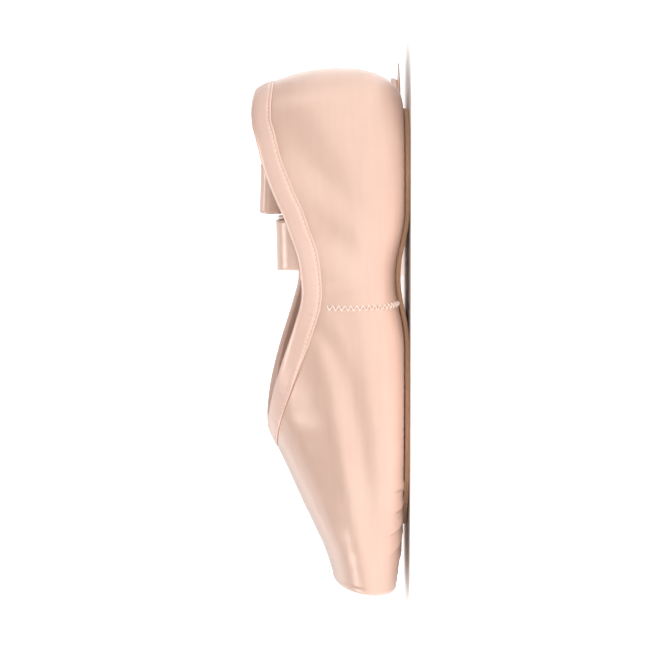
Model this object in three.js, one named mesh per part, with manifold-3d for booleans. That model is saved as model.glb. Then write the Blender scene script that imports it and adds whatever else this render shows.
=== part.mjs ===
import * as THREE from "three";
import { mergeVertices } from "three/addons/utils/BufferGeometryUtils.js";
import Module from "manifold-3d";

// A satin pointe shoe, empty and unbent on its sole.
// Millimetres. +X points to the toe, +Y to the shoe's left, +Z up, and z = 0 is the floor.
// The origin is on the floor, under the middle of the flat spot below the ball of the foot.
// The table and the functions below measure s, the distance from the back of the heel.

// Driving sizes
const LENGTH = 235;
const BALL_S = 142;
const HEEL_AXIS_S = 34;
const THROAT_S = 163;
const THROAT_REACH = 80;
const THROAT_DRAW = 2.6;
const THROAT_ROUND = 0.62;
const LOWER_FULLNESS = 2.15;
const SOLE_START_S = 18;
const SOLE_END_S = 207;
const SOLE_THICK = 2.2;
const SOLE_BEVEL = 0.7;
const ARCH_LIFT = 4;
const ARCH_FROM_S = 62;
const ARCH_TO_S = 122;
const SPRING_FROM_S = 172;
const TOE_SPRING = 3;
const PLATFORM_TILT = 0.12;
const TILT_FROM_S = 195;
const RIM_RADIUS = 4;
const RIM_STEPS = 4;
const WALL_HEEL = 1.6;
const WALL_BOX = 3;
const WALL_FROM_S = 120;
const WALL_TO_S = 175;
const INSOLE_THICK = 1.5;
const INSOLE_BEVEL = 0.4;
const INSOLE_INSET = 0.8;
const INSOLE_START_S = 18.5;
const INSOLE_END_S = 214;
const HOLE_START_S = 24;
const HOLE_END_S = 199;
const PAD_START_S = 27;
const PAD_END_S = 194;
const PAD_INSET = 0.6;
const PAD_INTO_BOARD = 0.5;
const END_ROWS = [0, 0.4, 1.3, 3, 5.5, 8.5];
const GAP = 0.3;
const SEAM_S = 103;
const SEAM_HALF = 1.6;
const SEAM_RAISE = 0.4;
const SEAM_CLEAR = 0.14;
const SEAM_FADE = 0.06;
const SEAM_FOOT = 0.3;
const BINDING_WIDE = 8.5;
const BINDING_THICK = 0.7;
const BINDING_GAP = 0.4;
const BINDING_EDGE = 0.8;
const BINDING_MIDDLE = 3.8;
const RIBBON_WIDE = 22;
const RIBBON_LONG = 460;
const RIBBON_THICK = 0.7;
const RIBBON_FLOOR = 0.5;
const LEFT_RIBBON_S = 76;
const RIGHT_RIBBON_S = 57;
const RIBBON_LOW = 0.04;
const BEND_STEP = 18;

// One row for each section of the last. Rows with turn are ribs fanned round the heel, in degrees
// from the back; rows with s stand across the shoe.
// half: half width, belly: height of the widest line, crown: top of the closed section,
// flat: half width of the flat underside, open: half width between the collar's two sides.
const SECTIONS = [
  { turn: 0, half: 34, belly: 30, crown: 83, flat: 17, open: 24 },
  { turn: 45, half: 32.6, belly: 30, crown: 86, flat: 16.8, open: 23.2 },
  { turn: 78, half: 30.6, belly: 29.6, crown: 90, flat: 18, open: 23.6 },
  { s: 52, half: 32.3, belly: 28, crown: 94, flat: 20.6, open: 28 },
  { s: 70, half: 35, belly: 26.5, crown: 91, flat: 18.8, open: 31.8 },
  { s: 90, half: 37, belly: 25.5, crown: 87, flat: 16.5, open: 34.4 },
  { s: 110, half: 38.9, belly: 25, crown: 80.5, flat: 18.5, open: 35.8 },
  { s: 130, half: 40.6, belly: 24.5, crown: 73, flat: 22.5, open: 36 },
  { s: 150, half: 41.8, belly: 24.5, crown: 66.5, flat: 25, open: 36 },
  { s: 163, half: 41.9, belly: 24.5, crown: 62, flat: 25, open: 36 },
  { s: 180, half: 40.8, belly: 23.5, crown: 54.5, flat: 23.4, open: 36 },
  { s: 195, half: 38.4, belly: 22.3, crown: 47.8, flat: 20.5, open: 36 },
  { s: 210, half: 34.8, belly: 20.8, crown: 41.2, flat: 17, open: 36 },
  { s: 220, half: 31.8, belly: 19.8, crown: 37.2, flat: 14, open: 36 },
  { s: 235, half: 26.6, belly: 18.6, crown: 32.8, flat: 7, open: 36 },
];

// Each ribbon is a flat strip bent round straight lines, one row for each bend.
// at: where the line crosses the strip's middle, from its sewn end, radius: of the bend.
// A row with face bends the strip until that face looks along x, y, z; with onFloor the line is
// moved until the strip then lies on the floor. A row with skew folds it over a slanting line.
// The left one is sewn inside the left side and falls across the opening; both lie on the right.
const UP = [0, 0, 1];
const DOWN = [0, 0, -1];
const LEFT_BENDS = [
  { at: 22, skew: 3, turn: -85, radius: 9 },
  { at: 85, face: [-0.12, -0.99, 0.14], radius: 6 },
  { at: 114, face: [-0.08, -1, 0], radius: 20 },
  { at: 126, face: UP, radius: 7, onFloor: true },
  { at: 168, skew: -50, turn: 187, radius: 1.6 },
  { at: 221, face: DOWN, radius: 20, onFloor: true },
  { at: 303, skew: -9, turn: -182.3, radius: 1.6 },
  { at: 390, face: UP, radius: 20, onFloor: true },
];
const RIGHT_BENDS = [
  { at: 30, skew: 0, turn: -174, radius: 4 },
  { at: 66, face: [0.05, -1, 0], radius: 20 },
  { at: 92, face: UP, radius: 7, onFloor: true },
  { at: 122, skew: 47, turn: 187, radius: 1.6 },
  { at: 150, face: DOWN, radius: 20, onFloor: true },
  { at: 162, skew: 41, turn: -187, radius: 1.6 },
  { at: 210, face: UP, radius: 20, onFloor: true },
  { at: 238, skew: -56, turn: 187, radius: 1.6 },
  { at: 305, face: DOWN, radius: 20, onFloor: true },
];

// Half widths of the outsole and of the opening that it closes, before their ends are rounded
const SOLE_OUTLINE = [
  { s: 18, sole: 16, hole: 10 },
  { s: 45, sole: 20, hole: 13.5 },
  { s: 70, sole: 17.6, hole: 12 },
  { s: 90, sole: 15.4, hole: 10 },
  { s: 110, sole: 17.6, hole: 12 },
  { s: 130, sole: 21.6, hole: 15.5 },
  { s: 150, sole: 24, hole: 17.5 },
  { s: 170, sole: 23.6, hole: 17 },
  { s: 190, sole: 20.6, hole: 14 },
  { s: 207, sole: 17, hole: 12 },
];

const wasm = await Module();
wasm.setup();
const degrees = THREE.MathUtils.degToRad;
const clamp01 = (t) => Math.min(1, Math.max(0, t));
const smooth = (t) => clamp01(t) ** 2 * (3 - 2 * clamp01(t));

// A smooth curve through one column of a table, level at its first row
function column(rows, key, at) {
  const xs = rows.map(at);
  const ys = rows.map((row) => row[key]);
  const last = xs.length - 1;
  const rise = (i, j) => (ys[j] - ys[i]) / (xs[j] - xs[i]);
  const slope = ys.map((_, i) => {
    if (i === 0) return 0;
    return i === last ? rise(i - 1, i) : rise(i - 1, i + 1);
  });
  return (x) => {
    let i = 0;
    while (i < last - 1 && x > xs[i + 1]) i++;
    const span = xs[i + 1] - xs[i];
    const t = clamp01((x - xs[i]) / span);
    const a = ys[i] + t * span * slope[i];
    const b = ys[i + 1] - (1 - t) * span * slope[i + 1];
    return a * (1 - smooth(t)) + b * smooth(t);
  };
}
// A half width that is rounded off towards both ends of a flat piece
function roundedEnds(halfAt, { from, to, heelReach, toeReach }) {
  return (s) => {
    const near = clamp01(Math.min((s - from) / heelReach, (to - s) / toeReach));
    return halfAt(s) * Math.sqrt(near * (2 - near));
  };
}

// The upper is followed by its run: the way along a quarter circle round the heel, then along s
const HEEL_RADIUS = HEEL_AXIS_S;
const QUARTER = (HEEL_RADIUS * Math.PI) / 2;
const runAt = (s) => QUARTER + s - HEEL_AXIS_S;
const runOf = (row) => (row.turn === undefined ? runAt(row.s) : degrees(row.turn) * HEEL_RADIUS);
const section = {};
for (const key of ["half", "belly", "crown", "flat", "open"]) {
  section[key] = column(SECTIONS, key, runOf);
}
const alongS = (row) => row.s;
const soleEnds = { from: SOLE_START_S, to: SOLE_END_S, heelReach: 17, toeReach: 26 };
const holeEnds = { from: HOLE_START_S, to: HOLE_END_S, heelReach: 14, toeReach: 18 };
const soleHalf = roundedEnds(column(SOLE_OUTLINE, "sole", alongS), soleEnds);
const holeHalf = roundedEnds(column(SOLE_OUTLINE, "hole", alongS), holeEnds);

// The underside of the sole: flat at the heel and the ball, lifted at the arch and before the toe
function floorHeight(s) {
  const arch = Math.sin(Math.PI * clamp01((s - ARCH_FROM_S) / (ARCH_TO_S - ARCH_FROM_S))) ** 2;
  const spring = clamp01((s - SPRING_FROM_S) / (LENGTH - SPRING_FROM_S)) ** 2;
  return ARCH_LIFT * arch + TOE_SPRING * spring;
}
const upperFloor = (s) => floorHeight(s) + SOLE_THICK + GAP;
const wallAt = (s) => {
  const share = smooth((s - WALL_FROM_S) / (WALL_TO_S - WALL_FROM_S));
  return WALL_HEEL + (WALL_BOX - WALL_HEEL) * share;
};

// The opening: straight sided at the quarters and closing to the point of the throat
function openHalf(run) {
  const back = clamp01((runAt(THROAT_S) - run) / THROAT_REACH);
  return section.open(run) * (1 - (1 - back) ** THROAT_DRAW) ** THROAT_ROUND;
}
function runToS(run) {
  if (run < QUARTER) return HEEL_AXIS_S - HEEL_RADIUS * Math.cos(run / HEEL_RADIUS);
  return run - QUARTER + HEEL_AXIS_S;
}
// The side seam is a low ridge that fades out under the binding and above the sole
function seamRaise(run, round) {
  const across = smooth(2 * (1 - Math.abs(run - runAt(SEAM_S)) / SEAM_HALF));
  const below = smooth((collarRound(run) - round - SEAM_CLEAR) / SEAM_FADE);
  return SEAM_RAISE * across * below * smooth((round + 1) / SEAM_FOOT);
}

// One section, from round = -2 at its middle below, over -1 at the edge of the flat underside and
// 0 at the widest line, to 1 at the crown. Gives the way out from the middle and the height.
function sectionPoint(run, round) {
  const half = section.half(run);
  const flat = section.flat(run);
  const belly = section.belly(run);
  const low = upperFloor(runToS(run));
  if (round <= -1) return { out: flat * (round + 2), up: low };
  const angle = round * (Math.PI / 2);
  if (round >= 0) {
    const up = belly + (section.crown(run) - belly) * Math.sin(angle);
    return { out: half * Math.cos(angle), up };
  }
  const bend = 2 / LOWER_FULLNESS;
  const out = flat + (half - flat) * Math.cos(angle) ** bend;
  return { out, up: belly - (belly - low) * Math.sin(-angle) ** bend };
}
function place(run, out, up) {
  if (run < QUARTER) {
    const turn = run / HEEL_RADIUS;
    return new THREE.Vector3(HEEL_AXIS_S - BALL_S - out * Math.cos(turn), out * Math.sin(turn), up);
  }
  const s = runToS(run);
  const tilt = PLATFORM_TILT * smooth((s - TILT_FROM_S) / (LENGTH - TILT_FROM_S));
  return new THREE.Vector3(s - BALL_S - tilt * (up - section.belly(run)), out, up);
}
function skin(run, round) {
  const { out, up } = sectionPoint(run, round);
  return place(run, out, up);
}
const ROUND_STEP = 0.02;
const RUN_STEP = 0.5;
const NEAR_ZERO = 0.001;
function skinNormal(run, round) {
  if (round < -1 + NEAR_ZERO) return new THREE.Vector3(0, 0, -1);
  const highRound = Math.min(1, round + ROUND_STEP);
  const lowRun = Math.max(0, run - RUN_STEP);
  const along = skin(run + RUN_STEP, round).sub(skin(lowRun, round));
  const around = skin(run, highRound).sub(skin(run, round - ROUND_STEP));
  const normal = around.cross(along);
  if (round > 1 - NEAR_ZERO || run < NEAR_ZERO) normal.y = 0;
  return normal.normalize();
}
// A point on the upper's outer face, moved out by lift, or inward where lift is negative
function onSkin(run, round, lift) {
  return skin(run, round).addScaledVector(skinNormal(run, round), lift);
}
// The same for a point given in space: it is carried to the face straight out from the middle
function nearestOnSkin(point, lift) {
  const s = point.x + BALL_S;
  const side = Math.abs(point.y);
  const fanned = s < HEEL_AXIS_S;
  const run = fanned ? Math.atan2(side, HEEL_AXIS_S - s) * HEEL_RADIUS : runAt(s);
  const out = fanned ? Math.hypot(side, HEEL_AXIS_S - s) : side;
  const belly = section.belly(run);
  const angle = Math.atan2((point.z - belly) / (section.crown(run) - belly), out / section.half(run));
  const moved = onSkin(run, clamp01(angle / (Math.PI / 2)), lift);
  if (point.y < 0) moved.y *= -1;
  if (point.y === 0 && run > QUARTER) moved.y = 0;
  return moved;
}

// A closed mesh from a list of faces, each given as three or four points in turn
const MERGE_WITHIN = 0.002;
function closedMesh(faces) {
  const flatList = [];
  for (const face of faces) {
    for (let i = 1; i + 1 < face.length; i++) {
      for (const p of [face[0], face[i], face[i + 1]]) flatList.push(p.x, p.y, p.z);
    }
  }
  const loose = new THREE.BufferGeometry();
  loose.setAttribute("position", new THREE.Float32BufferAttribute(flatList, 3));
  const merged = mergeVertices(loose, MERGE_WITHIN);
  const index = Array.from(merged.index.array);
  const kept = [];
  for (let i = 0; i < index.length; i += 3) {
    const [a, b, c] = index.slice(i, i + 3);
    if (a !== b && b !== c && c !== a) kept.push(a, b, c);
  }
  merged.setIndex(kept);
  merged.computeVertexNormals();
  return merged;
}
function mirrored(faces) {
  return faces.map((face) => face.map((p) => new THREE.Vector3(p.x, -p.y, p.z)).reverse());
}
// Joins rows of points, taken in turn, with four-cornered faces
function strip(rows, faces) {
  for (let i = 0; i + 1 < rows.length; i++) {
    for (let j = 0; j + 1 < rows[i].length; j++) {
      faces.push([rows[i][j], rows[i][j + 1], rows[i + 1][j + 1], rows[i + 1][j]]);
    }
  }
}

// Upper: satin over canvas, one wall all round, open at the collar and where the sole closes it
function collarRound(run) {
  if (run >= runAt(THROAT_S)) return 1;
  return Math.acos(openHalf(run) / section.half(run)) / (Math.PI / 2);
}
function holeRound(run) {
  const s = runToS(run);
  const half = run < QUARTER ? holeOut(run) : holeHalf(s);
  return -2 + half / section.flat(run);
}
// Round the heel the underside opening follows its own rounded end
function holeOut(run) {
  const turn = run / HEEL_RADIUS;
  const back = HEEL_AXIS_S - HOLE_START_S;
  const side = holeHalf(HEEL_AXIS_S);
  return 1 / Math.hypot(Math.cos(turn) / back, Math.sin(turn) / side);
}
// The upper's ribs, closer together where it bends more
const HEEL_RIBS = 8;
const QUARTER_RIBS = [34, 42, 50, 58.5, 67, 77, 87, 95];
const SEAM_RIBS = [-1, -0.5, 0.5, 1].map((share) => SEAM_S + share * SEAM_HALF);
const FOREPART_RIBS = [111, 119, 127, 135, 142, 148];
const THROAT_RIBS = [10.5, 7, 4.4, 2.4, 1.1, 0.35, 0].map((before) => THROAT_S - before);
const BOX_RIBS = [167, 173, 180, 188, 193.5, 199, 206, 213, 220, 226];
const ribRuns = Array.from({ length: HEEL_RIBS }, (_, i) => (QUARTER * i) / HEEL_RIBS);
for (const s of [...QUARTER_RIBS, ...SEAM_RIBS, ...FOREPART_RIBS, ...THROAT_RIBS, ...BOX_RIBS]) {
  ribRuns.push(runAt(s));
}
const FLAT_CELLS = 2;
const LOWER_CELLS = 5;
const UPPER_CELLS = 7;
const TIP_S = LENGTH - RIM_RADIUS;

function roundsAt(run) {
  const from = holeRound(run);
  const to = collarRound(run);
  const rounds = [];
  for (let i = 0; i < FLAT_CELLS; i++) rounds.push(from + ((-1 - from) * i) / FLAT_CELLS);
  for (let i = 0; i < LOWER_CELLS; i++) rounds.push(-1 + i / LOWER_CELLS);
  for (let i = 0; i <= UPPER_CELLS; i++) rounds.push((to * i) / UPPER_CELLS);
  return rounds;
}
// Points on the shoe's middle plane are put on it exactly, so that the mirrored half meets them
function flattened(point, round, run) {
  if (round >= 1 || round <= -2 || run === 0) point.y = 0;
  return point;
}
// Rows of points at a depth below the outer face, with the rounded rim and the cap of the platform
function shellRows(depthAt) {
  const rows = ribRuns.map((run) => {
    return roundsAt(run).map((round) => {
      const depth = depthAt(runToS(run));
      const raised = depth > 0 ? -depth : seamRaise(run, round);
      return flattened(onSkin(run, round, raised), round, run);
    });
  });
  const tipRun = runAt(TIP_S);
  const centre = new THREE.Vector3(0, 0, section.belly(tipRun));
  const depth = depthAt(TIP_S);
  for (let step = 0; step <= RIM_STEPS; step++) {
    const angle = (step / RIM_STEPS) * (Math.PI / 2);
    rows.push(roundsAt(tipRun).map((round) => {
      const { out, up } = sectionPoint(tipRun, round);
      const outward = skinNormal(tipRun, round).setX(0).normalize();
      const inset = RIM_RADIUS - (RIM_RADIUS - depth) * Math.cos(angle);
      const radial = new THREE.Vector3(0, out, up - centre.z).addScaledVector(outward, -inset);
      const ahead = (RIM_RADIUS - depth) * Math.sin(angle);
      return flattened(tipPoint(radial, centre, ahead), round, tipRun);
    }));
  }
  const rim = rows[rows.length - 1];
  const middle = tipPoint(new THREE.Vector3(), centre, RIM_RADIUS - depth);
  rows.push(rim.map((p) => p.clone().lerp(middle, 0.5)));
  rows.push(rim.map(() => middle.clone()));
  return rows;
}
function tipPoint(radial, centre, ahead) {
  const up = centre.z + radial.z;
  return new THREE.Vector3(TIP_S - BALL_S + ahead - PLATFORM_TILT * radial.z, radial.y, up);
}
function makeUpper() {
  const outer = shellRows(() => 0);
  const inner = shellRows(wallAt);
  const faces = [];
  strip(outer, faces);
  const inward = [];
  strip(inner, inward);
  for (const face of inward) faces.push([...face].reverse());
  const top = outer[0].length - 1;
  const throatRow = ribRuns.findIndex((run) => run >= runAt(THROAT_S) - NEAR_ZERO);
  const holeEndRow = ribRuns.findIndex((run) => run > QUARTER && holeHalf(runToS(run)) === 0);
  for (let i = 0; i < throatRow; i++) {
    faces.push([outer[i][top], inner[i][top], inner[i + 1][top], outer[i + 1][top]]);
  }
  for (let i = 0; i < holeEndRow; i++) {
    faces.push([inner[i][0], outer[i][0], outer[i + 1][0], inner[i + 1][0]]);
  }
  return closedMesh([...faces, ...mirrored(faces)]);
}

// A flat piece between two heights, of the given half width at each s, with a cut edge.
// The lower edge is drawn in by bevel. Its rows stand where the upper's ribs do.
const HEEL_CLEAR = 10;
const TOE_CLEAR = 7;
function makePlate({ halfAt, from, to, lowAt, thickAt, bevel }) {
  const ribs = ribRuns.map(runToS)
    .filter((s) => s >= HEEL_AXIS_S && s > from + HEEL_CLEAR && s < to - TOE_CLEAR);
  const ends = END_ROWS.map((d) => from + d).concat(END_ROWS.map((d) => to - d));
  const stations = [...ribs, ...ends].sort((a, b) => a - b);
  const rows = stations.map((s) => {
    const half = halfAt(s);
    const drawn = half * (1 - bevel / Math.max(half, 4 * bevel, NEAR_ZERO));
    const x = s - BALL_S;
    const low = lowAt(s);
    const thick = thickAt(s);
    const bevelUp = low + Math.min(bevel, thick / 2);
    return [
      new THREE.Vector3(x, 0, low), new THREE.Vector3(x, drawn, low),
      new THREE.Vector3(x, half, bevelUp), new THREE.Vector3(x, half, low + thick),
      new THREE.Vector3(x, 0, low + thick),
    ];
  });
  const faces = [];
  strip(rows, faces);
  faces.push([...rows[0]].reverse());
  faces.push([...rows[rows.length - 1]]);
  return closedMesh([...faces, ...mirrored(faces)]);
}

const geometries = {};
geometries.upper = makeUpper();
geometries.outsole = makePlate({
  halfAt: soleHalf, from: SOLE_START_S, to: SOLE_END_S,
  lowAt: floorHeight, thickAt: () => SOLE_THICK, bevel: SOLE_BEVEL,
});

// Insole: a thin board on the turned-in edge of the upper, with a pad that fills the opening below it
function joined(...parts) {
  const bodies = parts.map((geometry) => {
    const bare = geometry.clone().deleteAttribute("normal");
    const mesh = new wasm.Mesh({
      numProp: 3,
      vertProperties: new Float32Array(bare.attributes.position.array),
      triVerts: new Uint32Array(bare.index.array),
    });
    return new wasm.Manifold(mesh);
  });
  const whole = bodies.reduce((sum, body) => sum.add(body)).getMesh();
  const made = new THREE.BufferGeometry();
  made.setAttribute("position", new THREE.BufferAttribute(whole.vertProperties, 3));
  made.setIndex(new THREE.BufferAttribute(whole.triVerts, 1));
  made.computeVertexNormals();
  return made;
}
const insoleFloor = (s) => upperFloor(s) + wallAt(s) + GAP;
const flatHalf = (s) => section.flat(runAt(Math.max(s, HEEL_AXIS_S))) - INSOLE_INSET;
const insoleEnds = { from: INSOLE_START_S, to: INSOLE_END_S, heelReach: 16, toeReach: 14 };
const board = makePlate({
  halfAt: roundedEnds(flatHalf, insoleEnds),
  from: INSOLE_START_S, to: INSOLE_END_S,
  lowAt: insoleFloor, thickAt: () => INSOLE_THICK, bevel: INSOLE_BEVEL,
});
const pad = makePlate({
  halfAt: (s) => Math.max(0, holeHalf(s) - PAD_INSET) * (s > PAD_START_S && s < PAD_END_S ? 1 : 0),
  from: PAD_START_S, to: PAD_END_S,
  lowAt: upperFloor, thickAt: (s) => wallAt(s) + GAP + PAD_INTO_BOARD, bevel: 0,
});
geometries.insole = joined(board, pad);

// Binding: a tape of the same satin folded over the collar's edge, with a soft roll at its top
function collarPoint(run) {
  const round = collarRound(run);
  return flattened(skin(run, round), round, run);
}
function collarAhead(run) {
  if (run === 0) return new THREE.Vector3(0, 1, 0);
  if (run > runAt(THROAT_S) - NEAR_ZERO) return new THREE.Vector3(0, -1, 0);
  return collarPoint(run + NEAR_ZERO).sub(collarPoint(run - NEAR_ZERO)).normalize();
}
function bindingRing(run) {
  const edge = collarPoint(run);
  const normal = skinNormal(run, collarRound(run));
  const onMiddle = run === 0 || run > runAt(THROAT_S) - NEAR_ZERO;
  const away = normal.clone().cross(collarAhead(run)).normalize();
  const wall = wallAt(runToS(run));
  const outer = BINDING_GAP + BINDING_THICK;
  const ring = [
    { deep: BINDING_WIDE, lift: BINDING_GAP },
    { deep: BINDING_WIDE, lift: outer },
    { deep: BINDING_MIDDLE, lift: outer },
    { deep: BINDING_EDGE, lift: outer },
    { deep: -outer, lift: -wall * 0.1 },
    { deep: -outer, lift: -wall * 0.9 },
    { deep: BINDING_EDGE, below: outer },
    { deep: BINDING_MIDDLE, below: outer },
    { deep: BINDING_WIDE, below: outer },
    { deep: BINDING_WIDE, below: BINDING_GAP },
    { deep: BINDING_MIDDLE, below: BINDING_GAP },
    { deep: -BINDING_GAP, lift: -wall - BINDING_GAP },
    { deep: -BINDING_GAP, lift: BINDING_GAP },
    { deep: BINDING_MIDDLE, lift: BINDING_GAP },
  ];
  return ring.map(({ deep, lift, below }) => {
    const start = edge.clone().addScaledVector(away, deep);
    if (deep <= 0) return start.addScaledVector(normal, lift);
    const wallHere = wallAt(start.x + BALL_S);
    const point = nearestOnSkin(start, below === undefined ? lift : -wallHere - below);
    if (onMiddle) point.y = 0;
    return point;
  });
}
function makeBinding() {
  const rows = ribRuns.filter((run) => run < runAt(THROAT_S) + NEAR_ZERO).map(bindingRing);
  for (const row of rows) row.push(row[0]);
  const faces = [];
  strip(rows, faces);
  return closedMesh([...faces, ...mirrored(faces)]);
}
geometries.binding = makeBinding();

// Ribbons: a satin strip each, sewn to the lining and folded softly where it falls
function ribbonStart(s, side) {
  const run = runAt(s);
  const inside = -wallAt(s) - BINDING_GAP - BINDING_THICK - RIBBON_THICK / 2 - 2 * GAP;
  const foot = onSkin(run, RIBBON_LOW, inside);
  const top = onSkin(run, collarRound(run), inside);
  const along = top.clone().sub(foot).normalize();
  const across = collarPoint(run + 3).sub(collarPoint(run - 3)).normalize();
  for (const v of [foot, along, across]) v.y *= side;
  across.addScaledVector(along, -across.dot(along)).normalize();
  return { origin: foot, along, across };
}
// A frame holds the point and the directions along, across and out of a flat stretch of the strip
const faceOf = (frame) => frame.along.clone().cross(frame.across);
// The line and the angle that turn the strip's face to the one that a row asks for
function bendToFace(frame, target) {
  const from = faceOf(frame);
  const to = new THREE.Vector3(...target).normalize();
  const axis = from.clone().cross(to).normalize();
  if (axis.dot(frame.across) < 0) axis.negate();
  const skew = Math.atan2(-axis.dot(frame.along), axis.dot(frame.across));
  const turn = -Math.atan2(from.clone().cross(to).dot(axis), from.dot(to));
  return { skew, turn };
}
function bendAfter(frame, row) {
  const { skew, turn } = row.face
    ? bendToFace(frame, row.face)
    : { skew: degrees(row.skew), turn: degrees(row.turn) };
  const made = bendAt(frame, row.at, skew, turn, row.radius);
  if (!row.onFloor) return made;
  const rise = made.next.origin.z - RIBBON_FLOOR;
  return bendAt(frame, row.at - rise / frame.along.z, skew, turn, row.radius);
}
// The strip rolled round a line across it: points on the bend and the frame of the next stretch
function bendAt(frame, at, skew, turn, radius) {
  const angle = Math.abs(turn);
  const sense = Math.sign(turn);
  const { origin, along, across } = frame;
  const face = faceOf(frame);
  const onward = along.clone().multiplyScalar(Math.cos(skew)).addScaledVector(across, Math.sin(skew));
  const axis = across.clone().multiplyScalar(Math.cos(skew)).addScaledVector(along, -Math.sin(skew));
  const foot = origin.clone().addScaledVector(along, at);
  const pointAt = (reach, way) => {
    const phi = reach / radius;
    return foot.clone().addScaledVector(axis, way)
      .addScaledVector(onward, radius * Math.sin(phi))
      .addScaledVector(face, sense * radius * (1 - Math.cos(phi)));
  };
  const length = radius * angle;
  const spun = (v) => v.clone().applyAxisAngle(axis, -sense * angle);
  const next = { along: spun(along), across: spun(across) };
  next.origin = pointAt(length, 0)
    .addScaledVector(next.along, -(at + length * Math.cos(skew)))
    .addScaledVector(next.across, -length * Math.sin(skew));
  return { pointAt, length, skew, turn, radius, at, next };
}
// The strip's two edges and its face, at both ends and all along each bend
function ribbonRows(start, bends) {
  const half = RIBBON_WIDE / 2;
  const flatRow = (frame, u) => [-half, half].map((v) => (
    frame.origin.clone().addScaledVector(frame.along, u).addScaledVector(frame.across, v)
  ));
  let frame = start;
  const rows = [{ ends: flatRow(frame, 0), face: faceOf(frame) }];
  for (const bend of bends) {
    const { pointAt, length, skew, turn, radius, at, next } = bendAfter(frame, bend);
    const steps = Math.max(2, Math.ceil(Math.abs(turn) / degrees(BEND_STEP)));
    for (let i = 0; i <= steps; i++) {
      const reach = (length * i) / steps;
      const ends = [-half, half].map((v) => {
        const u = reach / Math.cos(skew) - v * Math.tan(skew);
        return pointAt(reach, -u * Math.sin(skew) + v * Math.cos(skew));
      });
      const axis = ends[1].clone().sub(ends[0]).normalize();
      const face = faceOf(frame).applyAxisAngle(axis, (-Math.sign(turn) * reach) / radius);
      rows.push({ ends, face });
    }
    frame = next;
  }
  rows.push({ ends: flatRow(frame, RIBBON_LONG), face: faceOf(frame) });
  return rows;
}
function makeRibbon(start, bends) {
  const half = RIBBON_THICK / 2;
  const rows = ribbonRows(start, bends).map(({ ends, face }) => {
    const [near, far] = ends;
    const ring = [[near, half], [near, -half], [far, -half], [far, half]];
    const corners = ring.map(([p, lift]) => p.clone().addScaledVector(face, lift));
    return [...corners, corners[0]];
  });
  const faces = [];
  strip(rows, faces);
  const first = rows[0].slice(0, 4);
  const last = rows[rows.length - 1].slice(0, 4);
  faces.push(first.reverse(), last);
  return closedMesh(faces);
}
geometries.ribbon_left = makeRibbon(ribbonStart(LEFT_RIBBON_S, 1), LEFT_BENDS);
geometries.ribbon_right = makeRibbon(ribbonStart(RIGHT_RIBBON_S, -1), RIGHT_BENDS);

const FINISHES = [
  { name: "upper", color: 0xe8c5b1, roughness: 0.42 },
  { name: "outsole", color: 0xf5ddd0, roughness: 0.7 },
  { name: "insole", color: 0xe9ddd2, roughness: 0.85 },
  { name: "binding", color: 0xe6c1ab, roughness: 0.45 },
  { name: "ribbon_left", color: 0xe9c7b5, roughness: 0.4 },
  { name: "ribbon_right", color: 0xe9c7b5, roughness: 0.4 },
];
const shoe = new THREE.Group();
for (const { name, color, roughness } of FINISHES) {
  const material = new THREE.MeshStandardMaterial({ color, roughness, metalness: 0 });
  const mesh = new THREE.Mesh(geometries[name], material);
  mesh.name = name;
  shoe.add(mesh);
}
export default shoe;
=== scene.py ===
import math

import bmesh
import bpy
import numpy as np
from mathutils import Matrix, Vector


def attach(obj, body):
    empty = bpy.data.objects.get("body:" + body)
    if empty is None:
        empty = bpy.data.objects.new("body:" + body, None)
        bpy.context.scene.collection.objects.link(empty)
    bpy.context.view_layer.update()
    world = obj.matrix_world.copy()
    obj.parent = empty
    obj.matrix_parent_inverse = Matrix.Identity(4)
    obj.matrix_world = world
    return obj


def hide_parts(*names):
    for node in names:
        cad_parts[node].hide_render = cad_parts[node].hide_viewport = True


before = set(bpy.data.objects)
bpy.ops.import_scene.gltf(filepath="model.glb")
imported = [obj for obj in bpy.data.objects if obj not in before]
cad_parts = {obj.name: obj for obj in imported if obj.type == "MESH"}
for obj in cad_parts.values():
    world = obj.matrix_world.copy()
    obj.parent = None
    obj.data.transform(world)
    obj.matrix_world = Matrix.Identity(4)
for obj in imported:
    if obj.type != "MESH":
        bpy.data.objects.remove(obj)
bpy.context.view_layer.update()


# The studio: a wide pale floor that curves up into a wall all round, under large soft lamps.
# The camera looks at the shoe's left side from just above the floor, a little from the heel, and
# is rolled until the toe points down in the picture and the sole faces right.
FLOOR_RADIUS = 2.6
FLOOR_SIDES = 96
WALL_CURVE = 1.4
WALL_STEPS = 12
WALL_TOP = 3.4
FLOOR_COLOUR = (0.92, 0.915, 0.91, 1)
DAYLIGHT = (1.0, 0.99, 0.985, 1)
SKY = 0.28

# The floor glows away from a line under the shoe. Over SHADE_NEAR the glow grows from nothing. On
# the shoe's right, from SHADE_SIDE out to SHADE_BEHIND, only GLOW_SHARE of it is left, and it
# fades up the wall over WALL_FADE.
GLOW = 0.75
GLOW_SHARE = 0.55
SHADE_MIDDLE = -0.024
SHADE_HALF = 0.1
SHADE_NEAR = (0.018, 0.042)
SHADE_SIDE = (-0.06, 0.02)
SHADE_BEHIND = (-0.22, -0.6)
WALL_FADE = (0.5, 1.1)

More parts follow.
